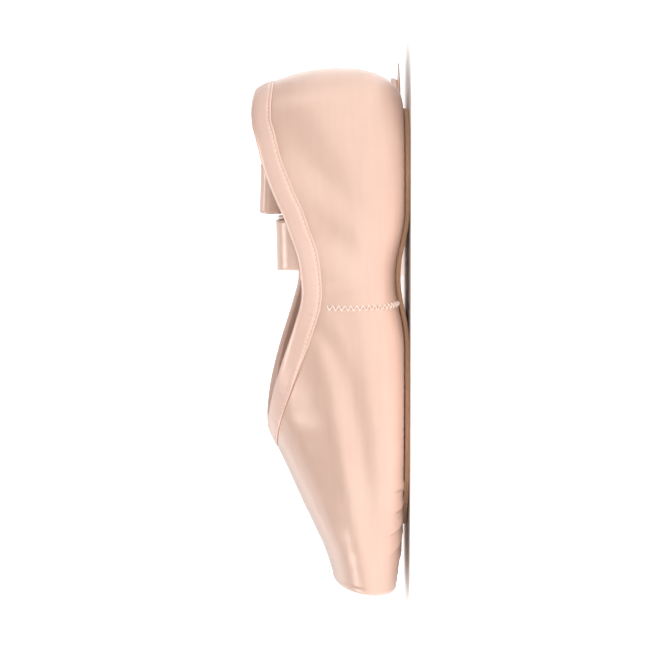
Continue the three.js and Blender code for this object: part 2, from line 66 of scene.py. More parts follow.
CAMERA_AIM = Vector((-0.026, 0.0, 0.037))
CAMERA_TURN = math.radians(8)
CAMERA_RISE = math.radians(1.6)
CAMERA_AWAY = 1.55
CAMERA_LENS = 190
CAMERA_UP = (-1, 0, 0)
LAMPS = [
    # name, place, aim, width, height, watts
    ("lamp_above", (0.1, 0.55, 1.6), (0.0, 0.0, 0.04), 0.7, 0.5, 6.2),
    ("lamp_back", (0.35, -0.95, 1.3), (0.0, 0.0, 0.04), 1.7, 1.4, 5.5),
    ("lamp_heel", (-1.4, 0.3, 0.5), (-0.05, 0.0, 0.03), 0.7, 0.7, 1.0),
    ("lamp_toe", (1.3, 0.1, 0.9), (0.0, 0.0, 0.03), 0.8, 0.7, 4.5),
]


def mesh_piece(name, points, faces, materials=()):
    """A new object with its place in its mesh, smooth shaded."""
    mesh = bpy.data.meshes.new(name)
    mesh.from_pydata([tuple(p) for p in points], [], [tuple(f) for f in faces])
    for material in materials:
        mesh.materials.append(material)
    mesh.polygons.foreach_set("use_smooth", [True] * len(mesh.polygons))
    piece = bpy.data.objects.new(name, mesh)
    bpy.context.scene.collection.objects.link(piece)
    return piece


def looking(place, aim, up):
    """The matrix of a lamp or camera at place that looks at aim."""
    back = (Vector(place) - Vector(aim)).normalized()
    right = Vector(up).cross(back).normalized()
    turned = Matrix((right, back.cross(right), back)).transposed().to_4x4()
    turned.translation = Vector(place)
    return turned


# Where these nodes keep their sockets for object coordinates, for colours and for plain numbers.
OBJECT_PLACE = 3
MIX_COLOURS = (0, 6, 7)
MIXED_COLOUR = 2
PLAIN_NUMBER = 2
WAVE_NUMBER = 1


class Wire:
    """A socket of a node tree. Sums, differences and products of wires add Math nodes."""

    def __init__(self, tree, socket=None):
        self.tree = tree
        self.socket = socket

    def node(self, kind, settings=None, values=None, out=0):
        made = self.tree.nodes.new(kind)
        for key, value in (settings or {}).items():
            setattr(made, key, value)
        for key, value in (values or {}).items():
            if isinstance(value, Wire):
                self.tree.links.new(value.socket, made.inputs[key])
            else:
                made.inputs[key].default_value = value
        return Wire(self.tree, made.outputs[out])

    def maths(self, operation, *values):
        return self.node("ShaderNodeMath", {"operation": operation}, dict(enumerate(values)))

    def vectors(self, operation, **values):
        names = {"first": 0, "second": 1, "scale": "Scale"}
        given = {names[key]: value for key, value in values.items()}
        return self.node("ShaderNodeVectorMath", {"operation": operation}, given)

    def __add__(self, other):
        return self.maths("ADD", self, other)

    def __sub__(self, other):
        return self.maths("SUBTRACT", self, other)

    def __rsub__(self, other):
        return self.maths("SUBTRACT", other, self)

    def __mul__(self, other):
        return self.maths("MULTIPLY", self, other)

    __radd__ = __add__
    __rmul__ = __mul__

    def place(self):
        return self.node("ShaderNodeTexCoord", out=OBJECT_PLACE)

    def noise(self, vector, scale, detail=2.0, rough=0.5):
        values = {"Vector": vector, "Scale": scale, "Detail": detail, "Roughness": rough}
        return self.node("ShaderNodeTexNoise", {}, values)

    def stretched(self, vector, scale):
        return self.node("ShaderNodeMapping", {}, {"Vector": vector, "Scale": scale})

    def mixed(self, factor, first, second):
        values = dict(zip(MIX_COLOURS, (factor, first, second)))
        return self.node("ShaderNodeMix", {"data_type": "RGBA"}, values, out=MIXED_COLOUR)

    def ramped(self, start, end):
        """0 before start, 1 past end and smooth between them."""
        values = {"Value": self, "From Min": start, "From Max": end}
        return self.node("ShaderNodeMapRange", {"interpolation_type": "SMOOTHSTEP"}, values)

    def bump(self, height, strength, distance, under=None):
        values = {"Height": height, "Strength": strength, "Distance": distance}
        if under is not None:
            values["Normal"] = under
        return self.node("ShaderNodeBump", {}, values)


def shade(red, green, blue):
    """A colour given as in a picture, 0 to 255, turned into light."""
    linear = [((c / 255 + 0.055) / 1.055) ** 2.4 for c in (red, green, blue)]
    return (*linear, 1.0)


def new_finish(name, fixed):
    """A material with its constant values set, and the wire that its nodes start from."""
    material = bpy.data.materials.new(name)
    material.use_nodes = True
    surface = material.node_tree.nodes["Principled BSDF"]
    for key, value in fixed.items():
        surface.inputs[key].default_value = value
    return material, Wire(material.node_tree), surface


def feed(surface, **wires):
    """Joins wires to the sockets of the surface that may vary."""
    names = dict(colour="Base Color", rough="Roughness", coat="Coat Weight", normal="Normal",
                 glow="Emission Color")
    for key, wire in wires.items():
        wire.tree.links.new(wire.socket, surface.inputs[names[key]])


def floor_finish():
    """Pale paint that glows a little away from the shoe, which leaves a soft shadow round it."""
    fixed = {"Base Color": FLOOR_COLOUR, "Roughness": 0.8, "Emission Strength": GLOW}
    paint, wire, surface = new_finish("pale_floor", fixed)
    split = {"Vector": wire.place()}
    ahead, across, above = (wire.node("ShaderNodeSeparateXYZ", {}, split, out=k) for k in range(3))
    past = wire.maths("MAXIMUM", wire.maths("ABSOLUTE", ahead - SHADE_MIDDLE) - SHADE_HALF, 0.0)
    away = wire.maths("SQRT", past * past + across * across)
    side = wire.maths("MAXIMUM", across.ramped(*SHADE_SIDE), across.ramped(*SHADE_BEHIND))
    beside = away.ramped(*SHADE_NEAR) * (side * (1.0 - GLOW_SHARE) + GLOW_SHARE)
    lit = beside * (1.0 - above.ramped(*WALL_FADE))
    feed(surface, glow=wire.mixed(lit, (0, 0, 0, 1), (1, 1, 1, 1)))
    return paint


def stage_floor():
    profile = [(0.0, 0.0), (FLOOR_RADIUS / 2, 0.0)]
    for step in range(WALL_STEPS + 1):
        angle = math.radians(90 * step / WALL_STEPS)
        out, up = WALL_CURVE * math.sin(angle), WALL_CURVE * (1 - math.cos(angle))
        profile.append((FLOOR_RADIUS + out, up))
    profile.append((FLOOR_RADIUS + WALL_CURVE, WALL_TOP))
    around = [math.tau * k / FLOOR_SIDES for k in range(FLOOR_SIDES)]
    points = [(r * math.cos(turn), r * math.sin(turn), z) for r, z in profile for turn in around]
    faces = []
    for row in range(0, len(points) - FLOOR_SIDES, FLOOR_SIDES):
        for k in range(FLOOR_SIDES):
            here, beside = row + k, row + (k + 1) % FLOOR_SIDES
            faces.append((here, beside, beside + FLOOR_SIDES, here + FLOOR_SIDES))
    mesh_piece("floor", points, faces, [floor_finish()])


def studio():
    scene = bpy.context.scene
    scene.view_settings.view_transform = "Standard"
    world = bpy.data.worlds.new("soft_daylight")
    world.use_nodes = True
    sky = world.node_tree.nodes["Background"]
    sky.inputs["Color"].default_value = DAYLIGHT
    sky.inputs["Strength"].default_value = SKY
    scene.world = world
    for name, place, aim, width, height, watts in LAMPS:
        light = bpy.data.lights.new(name, "AREA")
        light.shape = "RECTANGLE"
        light.size = width
        light.size_y = height
        light.energy = watts
        lamp = bpy.data.objects.new(name, light)
        lamp.matrix_world = looking(place, aim, (0, 0, 1))
        lamp.visible_camera = False
        scene.collection.objects.link(lamp)
    level = math.cos(CAMERA_RISE)
    away = (-math.sin(CAMERA_TURN) * level, math.cos(CAMERA_TURN) * level, math.sin(CAMERA_RISE))
    camera = bpy.data.objects.new("camera", bpy.data.cameras.new("camera"))
    camera.data.lens = CAMERA_LENS
    camera.matrix_world = looking(CAMERA_AIM + Vector(away) * CAMERA_AWAY, CAMERA_AIM, CAMERA_UP)
    scene.collection.objects.link(camera)
    scene.camera = camera


stage_floor()
studio()


# Upper: peach satin over canvas, drawn wet over the last and hardened with paste round the toe.
# It is closed by a side seam on each side and one at the back, and its edge is drawn in below
# the toe in pleats. All its sizes are in millimetres, and MM turns them into metres.
MM = 0.001
LENGTH = 235
BALL_S = 142
HEEL_AXIS_S = 34
THROAT_S = 163
THROAT_REACH = 80
THROAT_DRAW = 2.6
THROAT_ROUND = 0.62
LOWER_FULLNESS = 2.15
SOLE_START_S = 18
SOLE_END_S = 207
SOLE_THICK = 2.2
ARCH_LIFT = 4
ARCH_FROM_S = 62
ARCH_TO_S = 122
SPRING_FROM_S = 172
TOE_SPRING = 3
PLATFORM_TILT = 0.12
TILT_FROM_S = 195
RIM_RADIUS = 4
WALL_HEEL = 1.6
WALL_BOX = 3
WALL_FROM_S = 120
WALL_TO_S = 175
HOLE_START_S = 24
HOLE_END_S = 199
SOLE_ROUND = (17, 26)
HOLE_ROUND = (14, 18)
GAP = 0.3
SEAM_S = 103

# turn is the angle of a rib fanned round the heel, in degrees from the back, and s the distance
# of a rib that stands across the shoe. half: half width, belly: height of the widest line,
# crown: top of the closed section, flat: half width of the underside, open: of the opening.
SECTIONS = [
    dict(turn=0, half=34, belly=30, crown=83, flat=17, open=24),
    dict(turn=45, half=32.6, belly=30, crown=86, flat=16.8, open=23.2),
    dict(turn=78, half=30.6, belly=29.6, crown=90, flat=18, open=23.6),
    dict(s=52, half=32.3, belly=28, crown=94, flat=20.6, open=28),
    dict(s=70, half=35, belly=26.5, crown=91, flat=18.8, open=31.8),
    dict(s=90, half=37, belly=25.5, crown=87, flat=16.5, open=34.4),
    dict(s=110, half=38.9, belly=25, crown=80.5, flat=18.5, open=35.8),
    dict(s=130, half=40.6, belly=24.5, crown=73, flat=22.5, open=36),
    dict(s=150, half=41.8, belly=24.5, crown=66.5, flat=25, open=36),
    dict(s=163, half=41.9, belly=24.5, crown=62, flat=25, open=36),
    dict(s=180, half=40.8, belly=23.5, crown=54.5, flat=23.4, open=36),
    dict(s=195, half=38.4, belly=22.3, crown=47.8, flat=20.5, open=36),
    dict(s=210, half=34.8, belly=20.8, crown=41.2, flat=17, open=36),
    dict(s=220, half=31.8, belly=19.8, crown=37.2, flat=14, open=36),
    dict(s=235, half=26.6, belly=18.6, crown=32.8, flat=7, open=36),
]
SOLE_OUTLINE = [
    dict(s=18, sole=16, hole=10),
    dict(s=45, sole=20, hole=13.5),
    dict(s=70, sole=17.6, hole=12),
    dict(s=90, sole=15.4, hole=10),
    dict(s=110, sole=17.6, hole=12),
    dict(s=130, sole=21.6, hole=15.5),
    dict(s=150, sole=24, hole=17.5),
    dict(s=170, sole=23.6, hole=17),
    dict(s=190, sole=20.6, hole=14),
    dict(s=207, sole=17, hole=12),
]


def smooth(t):
    t = np.clip(t, 0, 1)
    return t * t * (3 - 2 * t)


def column(places, heights):
    """A smooth curve through one column of a table, level at its first row."""
    xs = np.array(places, float)
    ys = np.array(heights, float)
    slope = np.zeros_like(ys)
    slope[1:-1] = (ys[2:] - ys[:-2]) / (xs[2:] - xs[:-2])
    slope[-1] = (ys[-1] - ys[-2]) / (xs[-1] - xs[-2])

    def at(x):
        i = np.clip(np.searchsorted(xs, x) - 1, 0, len(xs) - 2)
        span = xs[i + 1] - xs[i]
        t = np.clip((x - xs[i]) / span, 0, 1)
        first = ys[i] + t * span * slope[i]
        second = ys[i + 1] - (1 - t) * span * slope[i + 1]
        return first * (1 - smooth(t)) + second * smooth(t)
    return at


def rounded_ends(half_at, start, end, heel_reach, toe_reach):
    """A half width that is rounded off towards both ends of a flat piece."""
    def at(s):
        near = np.clip(np.minimum((s - start) / heel_reach, (end - s) / toe_reach), 0, 1)
        return half_at(s) * np.sqrt(near * (2 - near))
    return at


# The upper is followed by its run: the way along a quarter circle round the heel, then along s.
# A run within RUN_SLACK of the middle of the heel, or of the throat, counts as being there.
QUARTER = HEEL_AXIS_S * math.pi / 2
RUN_SLACK = 0.001


def run_at(s):
    return QUARTER + s - HEEL_AXIS_S


def run_to_s(run):
    fanned = HEEL_AXIS_S * (1 - np.cos(np.minimum(run, QUARTER) / HEEL_AXIS_S))
    return np.where(run < QUARTER, fanned, run - QUARTER + HEEL_AXIS_S)


THROAT_RUN = run_at(THROAT_S)
SEAM_RUN = run_at(SEAM_S)
section_runs = [
    run_at(row["s"]) if "s" in row else math.radians(row["turn"]) * HEEL_AXIS_S for row in SECTIONS
]
section = {
    key: column(section_runs, [row[key] for row in SECTIONS])
    for key in ("half", "belly", "crown", "flat", "open")
}
outline = {
    key: column([row["s"] for row in SOLE_OUTLINE], [row[key] for row in SOLE_OUTLINE])
    for key in ("sole", "hole")
}
sole_half = rounded_ends(outline["sole"], SOLE_START_S, SOLE_END_S, *SOLE_ROUND)
hole_half = rounded_ends(outline["hole"], HOLE_START_S, HOLE_END_S, *HOLE_ROUND)


def floor_height(s):
    """The underside of the sole: flat at heel and ball, lifted at the arch and before the toe."""
    arch = np.sin(np.pi * np.clip((s - ARCH_FROM_S) / (ARCH_TO_S - ARCH_FROM_S), 0, 1)) ** 2
    spring = np.clip((s - SPRING_FROM_S) / (LENGTH - SPRING_FROM_S), 0, 1) ** 2
    return ARCH_LIFT * arch + TOE_SPRING * spring


def upper_floor(s):
    return floor_height(s) + SOLE_THICK + GAP


def wall_at(s):
    return WALL_HEEL + (WALL_BOX - WALL_HEEL) * smooth((s - WALL_FROM_S) / (WALL_TO_S - WALL_FROM_S))


def open_half(run):
    back = np.clip((THROAT_RUN - run) / THROAT_REACH, 0, 1)
    return section["open"](run) * (1 - (1 - back) ** THROAT_DRAW) ** THROAT_ROUND


def collar_round(run):
    ratio = np.clip(open_half(run) / section["half"](run), 0, 1)
    return np.where(run >= THROAT_RUN, 1.0, np.arccos(ratio) / (np.pi / 2))


def hole_round(run):
    turn = np.minimum(run, QUARTER) / HEEL_AXIS_S
    back, side = HEEL_AXIS_S - HOLE_START_S, hole_half(HEEL_AXIS_S)
    fanned = 1 / np.hypot(np.cos(turn) / back, np.sin(turn) / side)
    half = np.where(run < QUARTER, fanned, hole_half(run_to_s(run)))
    return -2 + half / section["flat"](run)


def section_point(run, turn):
    """One section, from turn = -2 at its middle below, over -1 at the edge of the flat underside
    and 0 at the widest line, to 1 at the crown: the way out from the middle and the height."""
    half, flat, belly = (section[key](run) for key in ("half", "flat", "belly"))
    low = upper_floor(run_to_s(run))
    angle = turn * np.pi / 2
    bend = 2 / LOWER_FULLNESS
    lower_out = flat + (half - flat) * np.abs(np.cos(angle)) ** bend
    lower_up = belly - (belly - low) * np.abs(np.sin(angle)) ** bend
    upper_up = belly + (section["crown"](run) - belly) * np.sin(angle)
    out = np.where(turn >= 0, half * np.cos(angle), np.where(turn <= -1, flat * (turn + 2), lower_out))
    up = np.where(turn >= 0, upper_up, np.where(turn <= -1, low, lower_up))
    return out, up


def skin(run, turn):
    """Points on the outer face of the upper's left half."""
    out, up = section_point(run, turn)
    angle = run / HEEL_AXIS_S
    s = run_to_s(run)
    tilt = PLATFORM_TILT * smooth((s - TILT_FROM_S) / (LENGTH - TILT_FROM_S))
    fanned = run < QUARTER
    straight = s - BALL_S - tilt * (up - section["belly"](run))
    x = np.where(fanned, HEEL_AXIS_S - BALL_S - out * np.cos(angle), straight)
    y = np.where(fanned, out * np.sin(angle), out)
    return np.stack(np.broadcast_arrays(x, y, up), -1)


def unit(vectors):
    return vectors / np.maximum(np.linalg.norm(vectors, axis=-1, keepdims=True), 1e-9)


# How far to each side of a point its slope is felt.
FEEL_RUN = 0.5
FEEL_TURN = 0.02
TURN_SLACK = 0.001


def skin_normal(run, turn):
    """The way out of the outer face. It has no y on the middle plane, and points down below."""
    run, turn = np.broadcast_arrays(np.asarray(run, float), np.asarray(turn, float))
    along = skin(run + FEEL_RUN, turn) - skin(np.maximum(0, run - FEEL_RUN), turn)
    above, below = np.minimum(1, turn + FEEL_TURN), np.maximum(-2, turn - FEEL_TURN)
    normal = np.cross(skin(run, above) - skin(run, below), along)
    in_middle = (turn > 1 - TURN_SLACK) | (run < RUN_SLACK)
    normal[..., 1] = np.where(in_middle, 0, normal[..., 1])
    normal[turn < TURN_SLACK - 1] = (0, 0, -1)
    return unit(normal)


def on_skin(run, turn, lift):
    """The same points moved out from the face by lift."""
    lift = np.asarray(lift, float)[..., None]
    return skin(run, turn) + skin_normal(run, turn) * lift


def nearest_on_skin(points, lift):
    """Points beside the left half carried to its face, straight out from the middle."""
    s = points[..., 0] + BALL_S
    side = np.abs(points[..., 1])
    fanned = s < HEEL_AXIS_S
    run = np.where(fanned, np.arctan2(side, HEEL_AXIS_S - s) * HEEL_AXIS_S, run_at(s))
    out = np.where(fanned, np.hypot(side, HEEL_AXIS_S - s), side)
    belly = section["belly"](run)
    rise = (points[..., 2] - belly) / (section["crown"](run) - belly)
    angle = np.arctan2(rise, out / section["half"](run))
    return on_skin(run, np.clip(angle / (np.pi / 2), 0, 1), lift)


# Points closer than WELD are joined, and edges shorter than SLIVER are closed up.
WELD = 0.004
SLIVER = 0.001


class Shell:
    """Grids of points, in millimetres, joined into one closed mesh."""

    def __init__(self):
        self.points, self.threads, self.folds = [], [], []
        self.faces, self.marks = [], []
        self.count = 0

    def grid(self, points, thread=None, fold=None, mark=0, flip=False):
        rows, cols = points.shape[:2]
        index = self.count + np.arange(rows * cols).reshape(rows, cols)
        self.count += rows * cols
        self.points.append(points.reshape(-1, 3))
        self.threads.append(np.zeros((rows * cols, 2)) if thread is None else thread.reshape(-1, 2))
        self.folds.append(np.zeros(rows * cols) if fold is None else fold.reshape(-1))
        self.quads(index[:-1, :-1], index[:-1, 1:], index[1:, 1:], index[1:, :-1], mark, flip)
        return index

    def quads(self, a, b, c, d, mark=0, flip=False):
        corners = np.stack([a, b, c, d], -1).reshape(-1, 4)
        self.faces.append(corners[:, ::-1] if flip else corners)
        self.marks.append(np.full(len(corners), mark))

    def piece(self, name, materials):
        points = np.concatenate(self.points) * MM
        faces = np.concatenate(self.faces)
        made = mesh_piece(name, points, faces, materials)
        mesh = made.data
        mesh.polygons.foreach_set("material_index", np.concatenate(self.marks))
        corner = faces.reshape(-1)
        threads = np.concatenate(self.threads)[corner] * MM
        mesh.uv_layers.new(name="thread").data.foreach_set("uv", threads.reshape(-1))
        # The fold attribute carries the shade painted into the satin's pleats, and marks the edge of a
        # plate.
        fold = mesh.attributes.new("fold", "FLOAT", "POINT")
        fold.data.foreach_set("value", np.concatenate(self.folds))
        welded = bmesh.new()
        welded.from_mesh(mesh)
        bmesh.ops.remove_doubles(welded, verts=welded.verts, dist=WELD * MM)
        bmesh.ops.dissolve_degenerate(welded, edges=welded.edges, dist=SLIVER * MM)
        welded.to_mesh(mesh)
        welded.free()
        return made


def mirrored(points):
    return points * np.array([1, -1, 1])


def stations(*spans):
    """Values from one station to the next, each span in its own number of steps."""
    parts = [np.linspace(start, end, steps, endpoint=False) for start, end, steps in spans]
    return np.append(np.concatenate(parts), spans[-1][1])


THROAT_NEAR = 12
throat_rows = THROAT_S - THROAT_NEAR * (1 - np.linspace(0, 1, 28)) ** 2
RUNS = np.concatenate([
    stations((0, 2.4, 10), (2.4, 6, 6), (6, QUARTER, 44), (QUARTER, run_at(SEAM_S - 3), 56))[:-1],
    run_at(stations((SEAM_S - 3, SEAM_S + 3, 26), (SEAM_S + 3, THROAT_S - THROAT_NEAR, 34)))[:-1],
    run_at(throat_rows)[:-1],
    run_at(stations((THROAT_S, 197, 28), (197, LENGTH - RIM_RADIUS, 66))),
])
RIM_ROWS = 9
CAP_ROWS = 7
OUTER_CELLS = (20, 30, 42)
INNER_CELLS = (6, 12, 18)

# Soft troughs, and ridges where depth is below 0. side is 1 on the left and -1 on the right,
# and the path gives s and the height above the floor.
CREASES = [
    dict(side=1, path=[(112, 30), (144, 27), (177, 21.5), (205, 17), (221, 15)], wide=4.8, depth=1.35),
    dict(side=1, path=[(118, 15), (150, 12.5), (178, 11), (201, 11)], wide=4.4, depth=-0.7),
    dict(side=1, path=[(96, 11), (95.5, 28), (97.5, 45)], wide=3.2, depth=0.75),
    dict(side=1, path=[(86, 14), (77, 30), (66, 47)], wide=6, depth=1.0),
    dict(side=1, path=[(22, 62), (40, 45), (60, 25)], wide=8, depth=1.3),
    dict(side=1, path=[(126, 55), (158, 45), (196, 33)], wide=6, depth=0.45),
    dict(side=1, path=[(108, 45), (120, 36), (136, 31)], wide=3.6, depth=0.65),
    dict(side=1, path=[(72, 20), (57, 37), (47, 50)], wide=4.5, depth=-0.25),
    dict(side=-1, path=[(112, 27), (140, 26), (174, 22), (200, 18)], wide=4.4, depth=0.5),
    dict(side=-1, path=[(110, 15), (96, 13), (80, 14)], wide=4, depth=0.4),
    dict(side=-1, path=[(96, 14), (94.5, 30), (96, 42)], wide=3.8, depth=0.35),
    dict(side=-1, path=[(80, 15), (70, 30), (57, 46)], wide=5, depth=0.5),
    dict(side=-1, path=[(22, 56), (37, 42), (53, 24)], wide=7.5, depth=0.5),
    dict(side=-1, path=[(128, 54), (156, 46), (190, 36)], wide=6.5, depth=0.3),
]

# Each crease gets shallower towards its ends and has a low swell along both its sides. SWELL_AT and
# SWELL_WIDE are shares of its width. Creases fade out within CREASE_CLEAR of the middle plane.
CREASE_ENDS = 0.02
CREASE_TAPER = 0.6
CREASE_CLEAR = 8
SWELL = 0.3
SWELL_AT = 1.9
SWELL_WIDE = 0.8


def bell(t):
    return np.exp(-t ** 2)


def way_to(path, s, up):
    """How far points are from a bent line, and the share of its length where each is nearest."""
    best = np.full(s.shape, 1e9)
    share = np.zeros(s.shape)
    legs = np.hypot(*np.diff(np.array(path, float), axis=0).T)
    before = 0.0
    for (a, b), leg in zip(zip(path, path[1:]), legs):
        ds, du = b[0] - a[0], b[1] - a[1]
        t = np.clip(((s - a[0]) * ds + (up - a[1]) * du) / leg ** 2, 0, 1)
        away = np.hypot(s - a[0] - t * ds, up - a[1] - t * du)
        nearer = away < best
        best = np.where(nearer, away, best)
        share = np.where(nearer, (before + t * leg) / legs.sum(), share)
        before += leg
    return best, share


def creased(points, side):
    """How far the satin stands in or out at its main creases, each with a low swell beside it."""
    s, y, up = points[..., 0] + BALL_S, points[..., 1], points[..., 2]
    lift = np.zeros(s.shape)
    for crease in CREASES:
        if crease["side"] != side:
            continue
        away, share = way_to(crease["path"], s, up)
        near = away / crease["wide"]
        inner = np.clip(share, CREASE_ENDS, 1 - CREASE_ENDS)
        taper = np.sin(np.pi * inner) ** CREASE_TAPER
        shape = bell(near) - SWELL * bell((near - SWELL_AT) / SWELL_WIDE)
        lift -= crease["depth"] * taper * shape
    return lift * smooth(np.abs(y) / CREASE_CLEAR)


# Pleats under the toe fan out from the end of the sole: their angles from straight ahead, on the
# left and on the right. They rise from PLEAT_START away from the centre and die out past PLEAT_END
# and above PLEAT_TOP, each over the distance named with it. A pleat rises steeply over its lip and
# slopes down over its width, and FOLD is the line at the foot of the lip, where shade is painted
# into the satin's colour.
PLEAT_CENTRE_S = 186
PLEAT_START, PLEAT_START_OVER = 17, 3
PLEAT_END, PLEAT_END_OVER = 33, 13
PLEAT_TOP, PLEAT_TOP_OVER = 2, 7
PLEAT_HEIGHT = 0.75
PLEAT_WIDE = 4.6
PLEAT_BOW = 0.004
PLEAT_UNBOWED = 20
LIP_BACK, LIP_WIDE = 0.5, 0.9
FOLD_BACK, FOLD_WIDE = 0.35, 0.45
PLEATS = {1: [9, 25, 39, 54, 70, 88], -1: [12, 27, 43, 58, 74, 92]}


def pleated(points, side):
    """The lift of the drawn-in pleats, and how deep in a fold each point lies, where shade is painted.
    """
    s, y, up = points[..., 0] + BALL_S, np.abs(points[..., 1]), points[..., 2]
    reach = np.hypot(s - PLEAT_CENTRE_S, y)
    angle = np.arctan2(y, s - PLEAT_CENTRE_S)
    above = up - upper_floor(s)
    begun = smooth((reach - PLEAT_START) / PLEAT_START_OVER)
    ended = smooth((reach - PLEAT_END) / PLEAT_END_OVER)
    ends = begun * (1 - ended) * (1 - smooth((above - PLEAT_TOP) / PLEAT_TOP_OVER))
    lift = np.zeros(s.shape)
    deep = np.zeros(s.shape)
    for place in PLEATS[side]:
        bowed = math.radians(place) + PLEAT_BOW * (reach - PLEAT_UNBOWED)
        across = (angle - bowed) * reach
        lip = smooth((across + LIP_BACK) / LIP_WIDE)
        lift += PLEAT_HEIGHT * (np.clip(1 - across / PLEAT_WIDE, 0, 1) * lip)
        deep += bell((across + FOLD_BACK) / FOLD_WIDE)
    return lift * ends, np.clip(deep * ends, 0, 1)


# The side seams are raised ridges with a groove in the middle, and end below the binding. The back
# seam is a groove between two low ridges, BACK_APART from the middle. Small puckers stand along the
# edge of the sole, from FOOT_FROM_RUN on, and round the throat below the binding.
SEAM_HALF, SEAM_RAISE = 1.6, 0.4
GROOVE_WIDE, GROOVE_DEEP = 0.34, 0.28
SEAM_CLEAR, SEAM_FADE = 0.14, 0.06
SEAM_FOOT = 0.3
BACK_APART, BACK_WIDE, BACK_RAISE = 0.9, 0.5, 0.1
BACK_GROOVE_WIDE, BACK_GROOVE_DEEP = 0.32, 0.3
BACK_FOOT = 0.2
FOOT_TURN, FOOT_WIDE, FOOT_PUCKER = -0.93, 0.1, 0.09
FOOT_FROM_RUN, FOOT_FROM_OVER = 20, 30
DRAWN_REACH, DRAWN_BELOW, DRAWN_WIDE, DRAWN_PUCKER = 14, 0.16, 0.12, 0.07
DRAWN_WAVES = 2.1


def seamed(run, turn, points):
    """The raised side seam with its groove, the back seam, and the small puckers."""
    away = np.abs(run - SEAM_RUN)
    collar = collar_round(run)
    ridge = SEAM_RAISE * smooth(2 * (1 - away / SEAM_HALF)) - GROOVE_DEEP * bell(away / GROOVE_WIDE)
    below = smooth((collar - turn - SEAM_CLEAR) / SEAM_FADE)
    side = ridge * below * smooth((turn + 1) / SEAM_FOOT)

    y = np.abs(points[..., 1])
    raised = BACK_RAISE * bell((y - BACK_APART) / BACK_WIDE)
    groove = BACK_GROOVE_DEEP * bell(y / BACK_GROOVE_WIDE)
    back = np.where(points[..., 0] < HEEL_AXIS_S - BALL_S, raised - groove, 0)
    back = back * smooth((turn + 1) / BACK_FOOT)

    # Waves of two lengths, the longer one itself uneven, so that no two puckers are alike.
    wave = np.sin(run * 1.37 + 0.8 * np.sin(run * 0.31)) + 0.6 * np.sin(run * 2.23 + 1.1)
    foot = bell((turn - FOOT_TURN) / FOOT_WIDE) * smooth((run - FOOT_FROM_RUN) / FOOT_FROM_OVER)
    drawn = bell((run - THROAT_RUN) / DRAWN_REACH) * bell((turn - collar + DRAWN_BELOW) / DRAWN_WIDE)
    puckers = FOOT_PUCKER * foot * wave
    return side + back + puckers + DRAWN_PUCKER * drawn * np.sin(run * DRAWN_WAVES)


MIDDLE_SLACK = 1e-6


def numeric_normals(points):
    """The way out at each point of a grid, kept in the middle plane where the point lies in it."""
    along = np.gradient(points, axis=0)
    around = np.gradient(points, axis=1)
    normal = np.cross(around, along)
    normal[np.abs(points[..., 1]) < MIDDLE_SLACK, 1] = 0
    return unit(normal)


def turns_at(runs, flat_cells, lower_cells, upper_cells):
    """The ways round for each run, from the opening below to the collar or the crown."""
    low = hole_round(runs)[:, None]
    top = collar_round(runs)[:, None]
    flat = low + (-1 - low) * np.linspace(0, 1, flat_cells, endpoint=False)
    lower = np.linspace(-1, 0, lower_cells, endpoint=False)
    lower = np.broadcast_to(lower, (len(runs), lower_cells))
    upper = top * np.linspace(0, 1, upper_cells + 1)
    return np.concatenate([flat, lower, upper], axis=1)


def shell_points(depth_at, cells):
    """Rows of points at a depth below the outer face, on over the platform's rim to its middle."""
    turns = turns_at(RUNS, *cells)
    runs = np.broadcast_to(RUNS[:, None], turns.shape)
    body = on_skin(runs, turns, -depth_at(run_to_s(runs)))
    tip_s = LENGTH - RIM_RADIUS
    tip_run = run_at(tip_s)
    depth = float(depth_at(tip_s))
    tip_turns = turns[-1]
    out, up = section_point(np.full(tip_turns.shape, tip_run), tip_turns)
    belly = float(section["belly"](tip_run))
    outward = unit(skin_normal(tip_run, tip_turns) * np.array([0, 1, 1]))
    rows = []
    for step in range(1, RIM_ROWS + 1):
        angle = step / RIM_ROWS * math.pi / 2
        inset = RIM_RADIUS - (RIM_RADIUS - depth) * math.cos(angle)
        radial = np.stack([np.zeros_like(out), out, up - belly], -1) - outward * inset
        ahead = (RIM_RADIUS - depth) * math.sin(angle)
        x = tip_s - BALL_S + ahead - PLATFORM_TILT * radial[:, 2]
        rows.append(np.stack([x, radial[:, 1], belly + radial[:, 2]], -1))
    middle = np.array([tip_s - BALL_S + RIM_RADIUS - depth, 0, belly])
    rim = rows[-1]
    for step in range(1, CAP_ROWS + 1):
        rows.append(rim + (middle - rim) * (step / CAP_ROWS))
    points = np.concatenate([body, np.stack(rows)])
    points[:, :, 1] = np.maximum(points[:, :, 1], 0)
    points[0, :, 1] = 0
    points[on_middle(points, turns)] *= np.array([1, 0, 1])
    return points, turns


def on_middle(points, turns):
    """Marks the points on the shoe's middle plane: the closed crown and the closed underside."""
    full = np.concatenate([turns, np.repeat(turns[-1:], len(points) - len(turns), axis=0)])
    return (full >= 1) | (full <= -2)


def thread_map(points):
    """How far each point lies along the shoe and round it, in millimetres, for the weave."""
    along = np.linalg.norm(np.diff(points, axis=0), axis=-1)
    along = np.concatenate([np.zeros((1, points.shape[1])), np.cumsum(along, axis=0)])
    around = np.linalg.norm(np.diff(points, axis=1), axis=-1)
    around = np.concatenate([np.zeros((points.shape[0], 1)), np.cumsum(around, axis=1)], axis=1)
    middle = points.shape[1] // 2
    middle = slice(middle, middle + 1)
    return np.stack([np.broadcast_to(along[:, middle], around.shape), around - around[:, middle]], -1)


# Painted shade: the dark colour that the satin takes in the folds of the pleats.
PAINTED_FOLD_SHADE = shade(176, 118, 96)


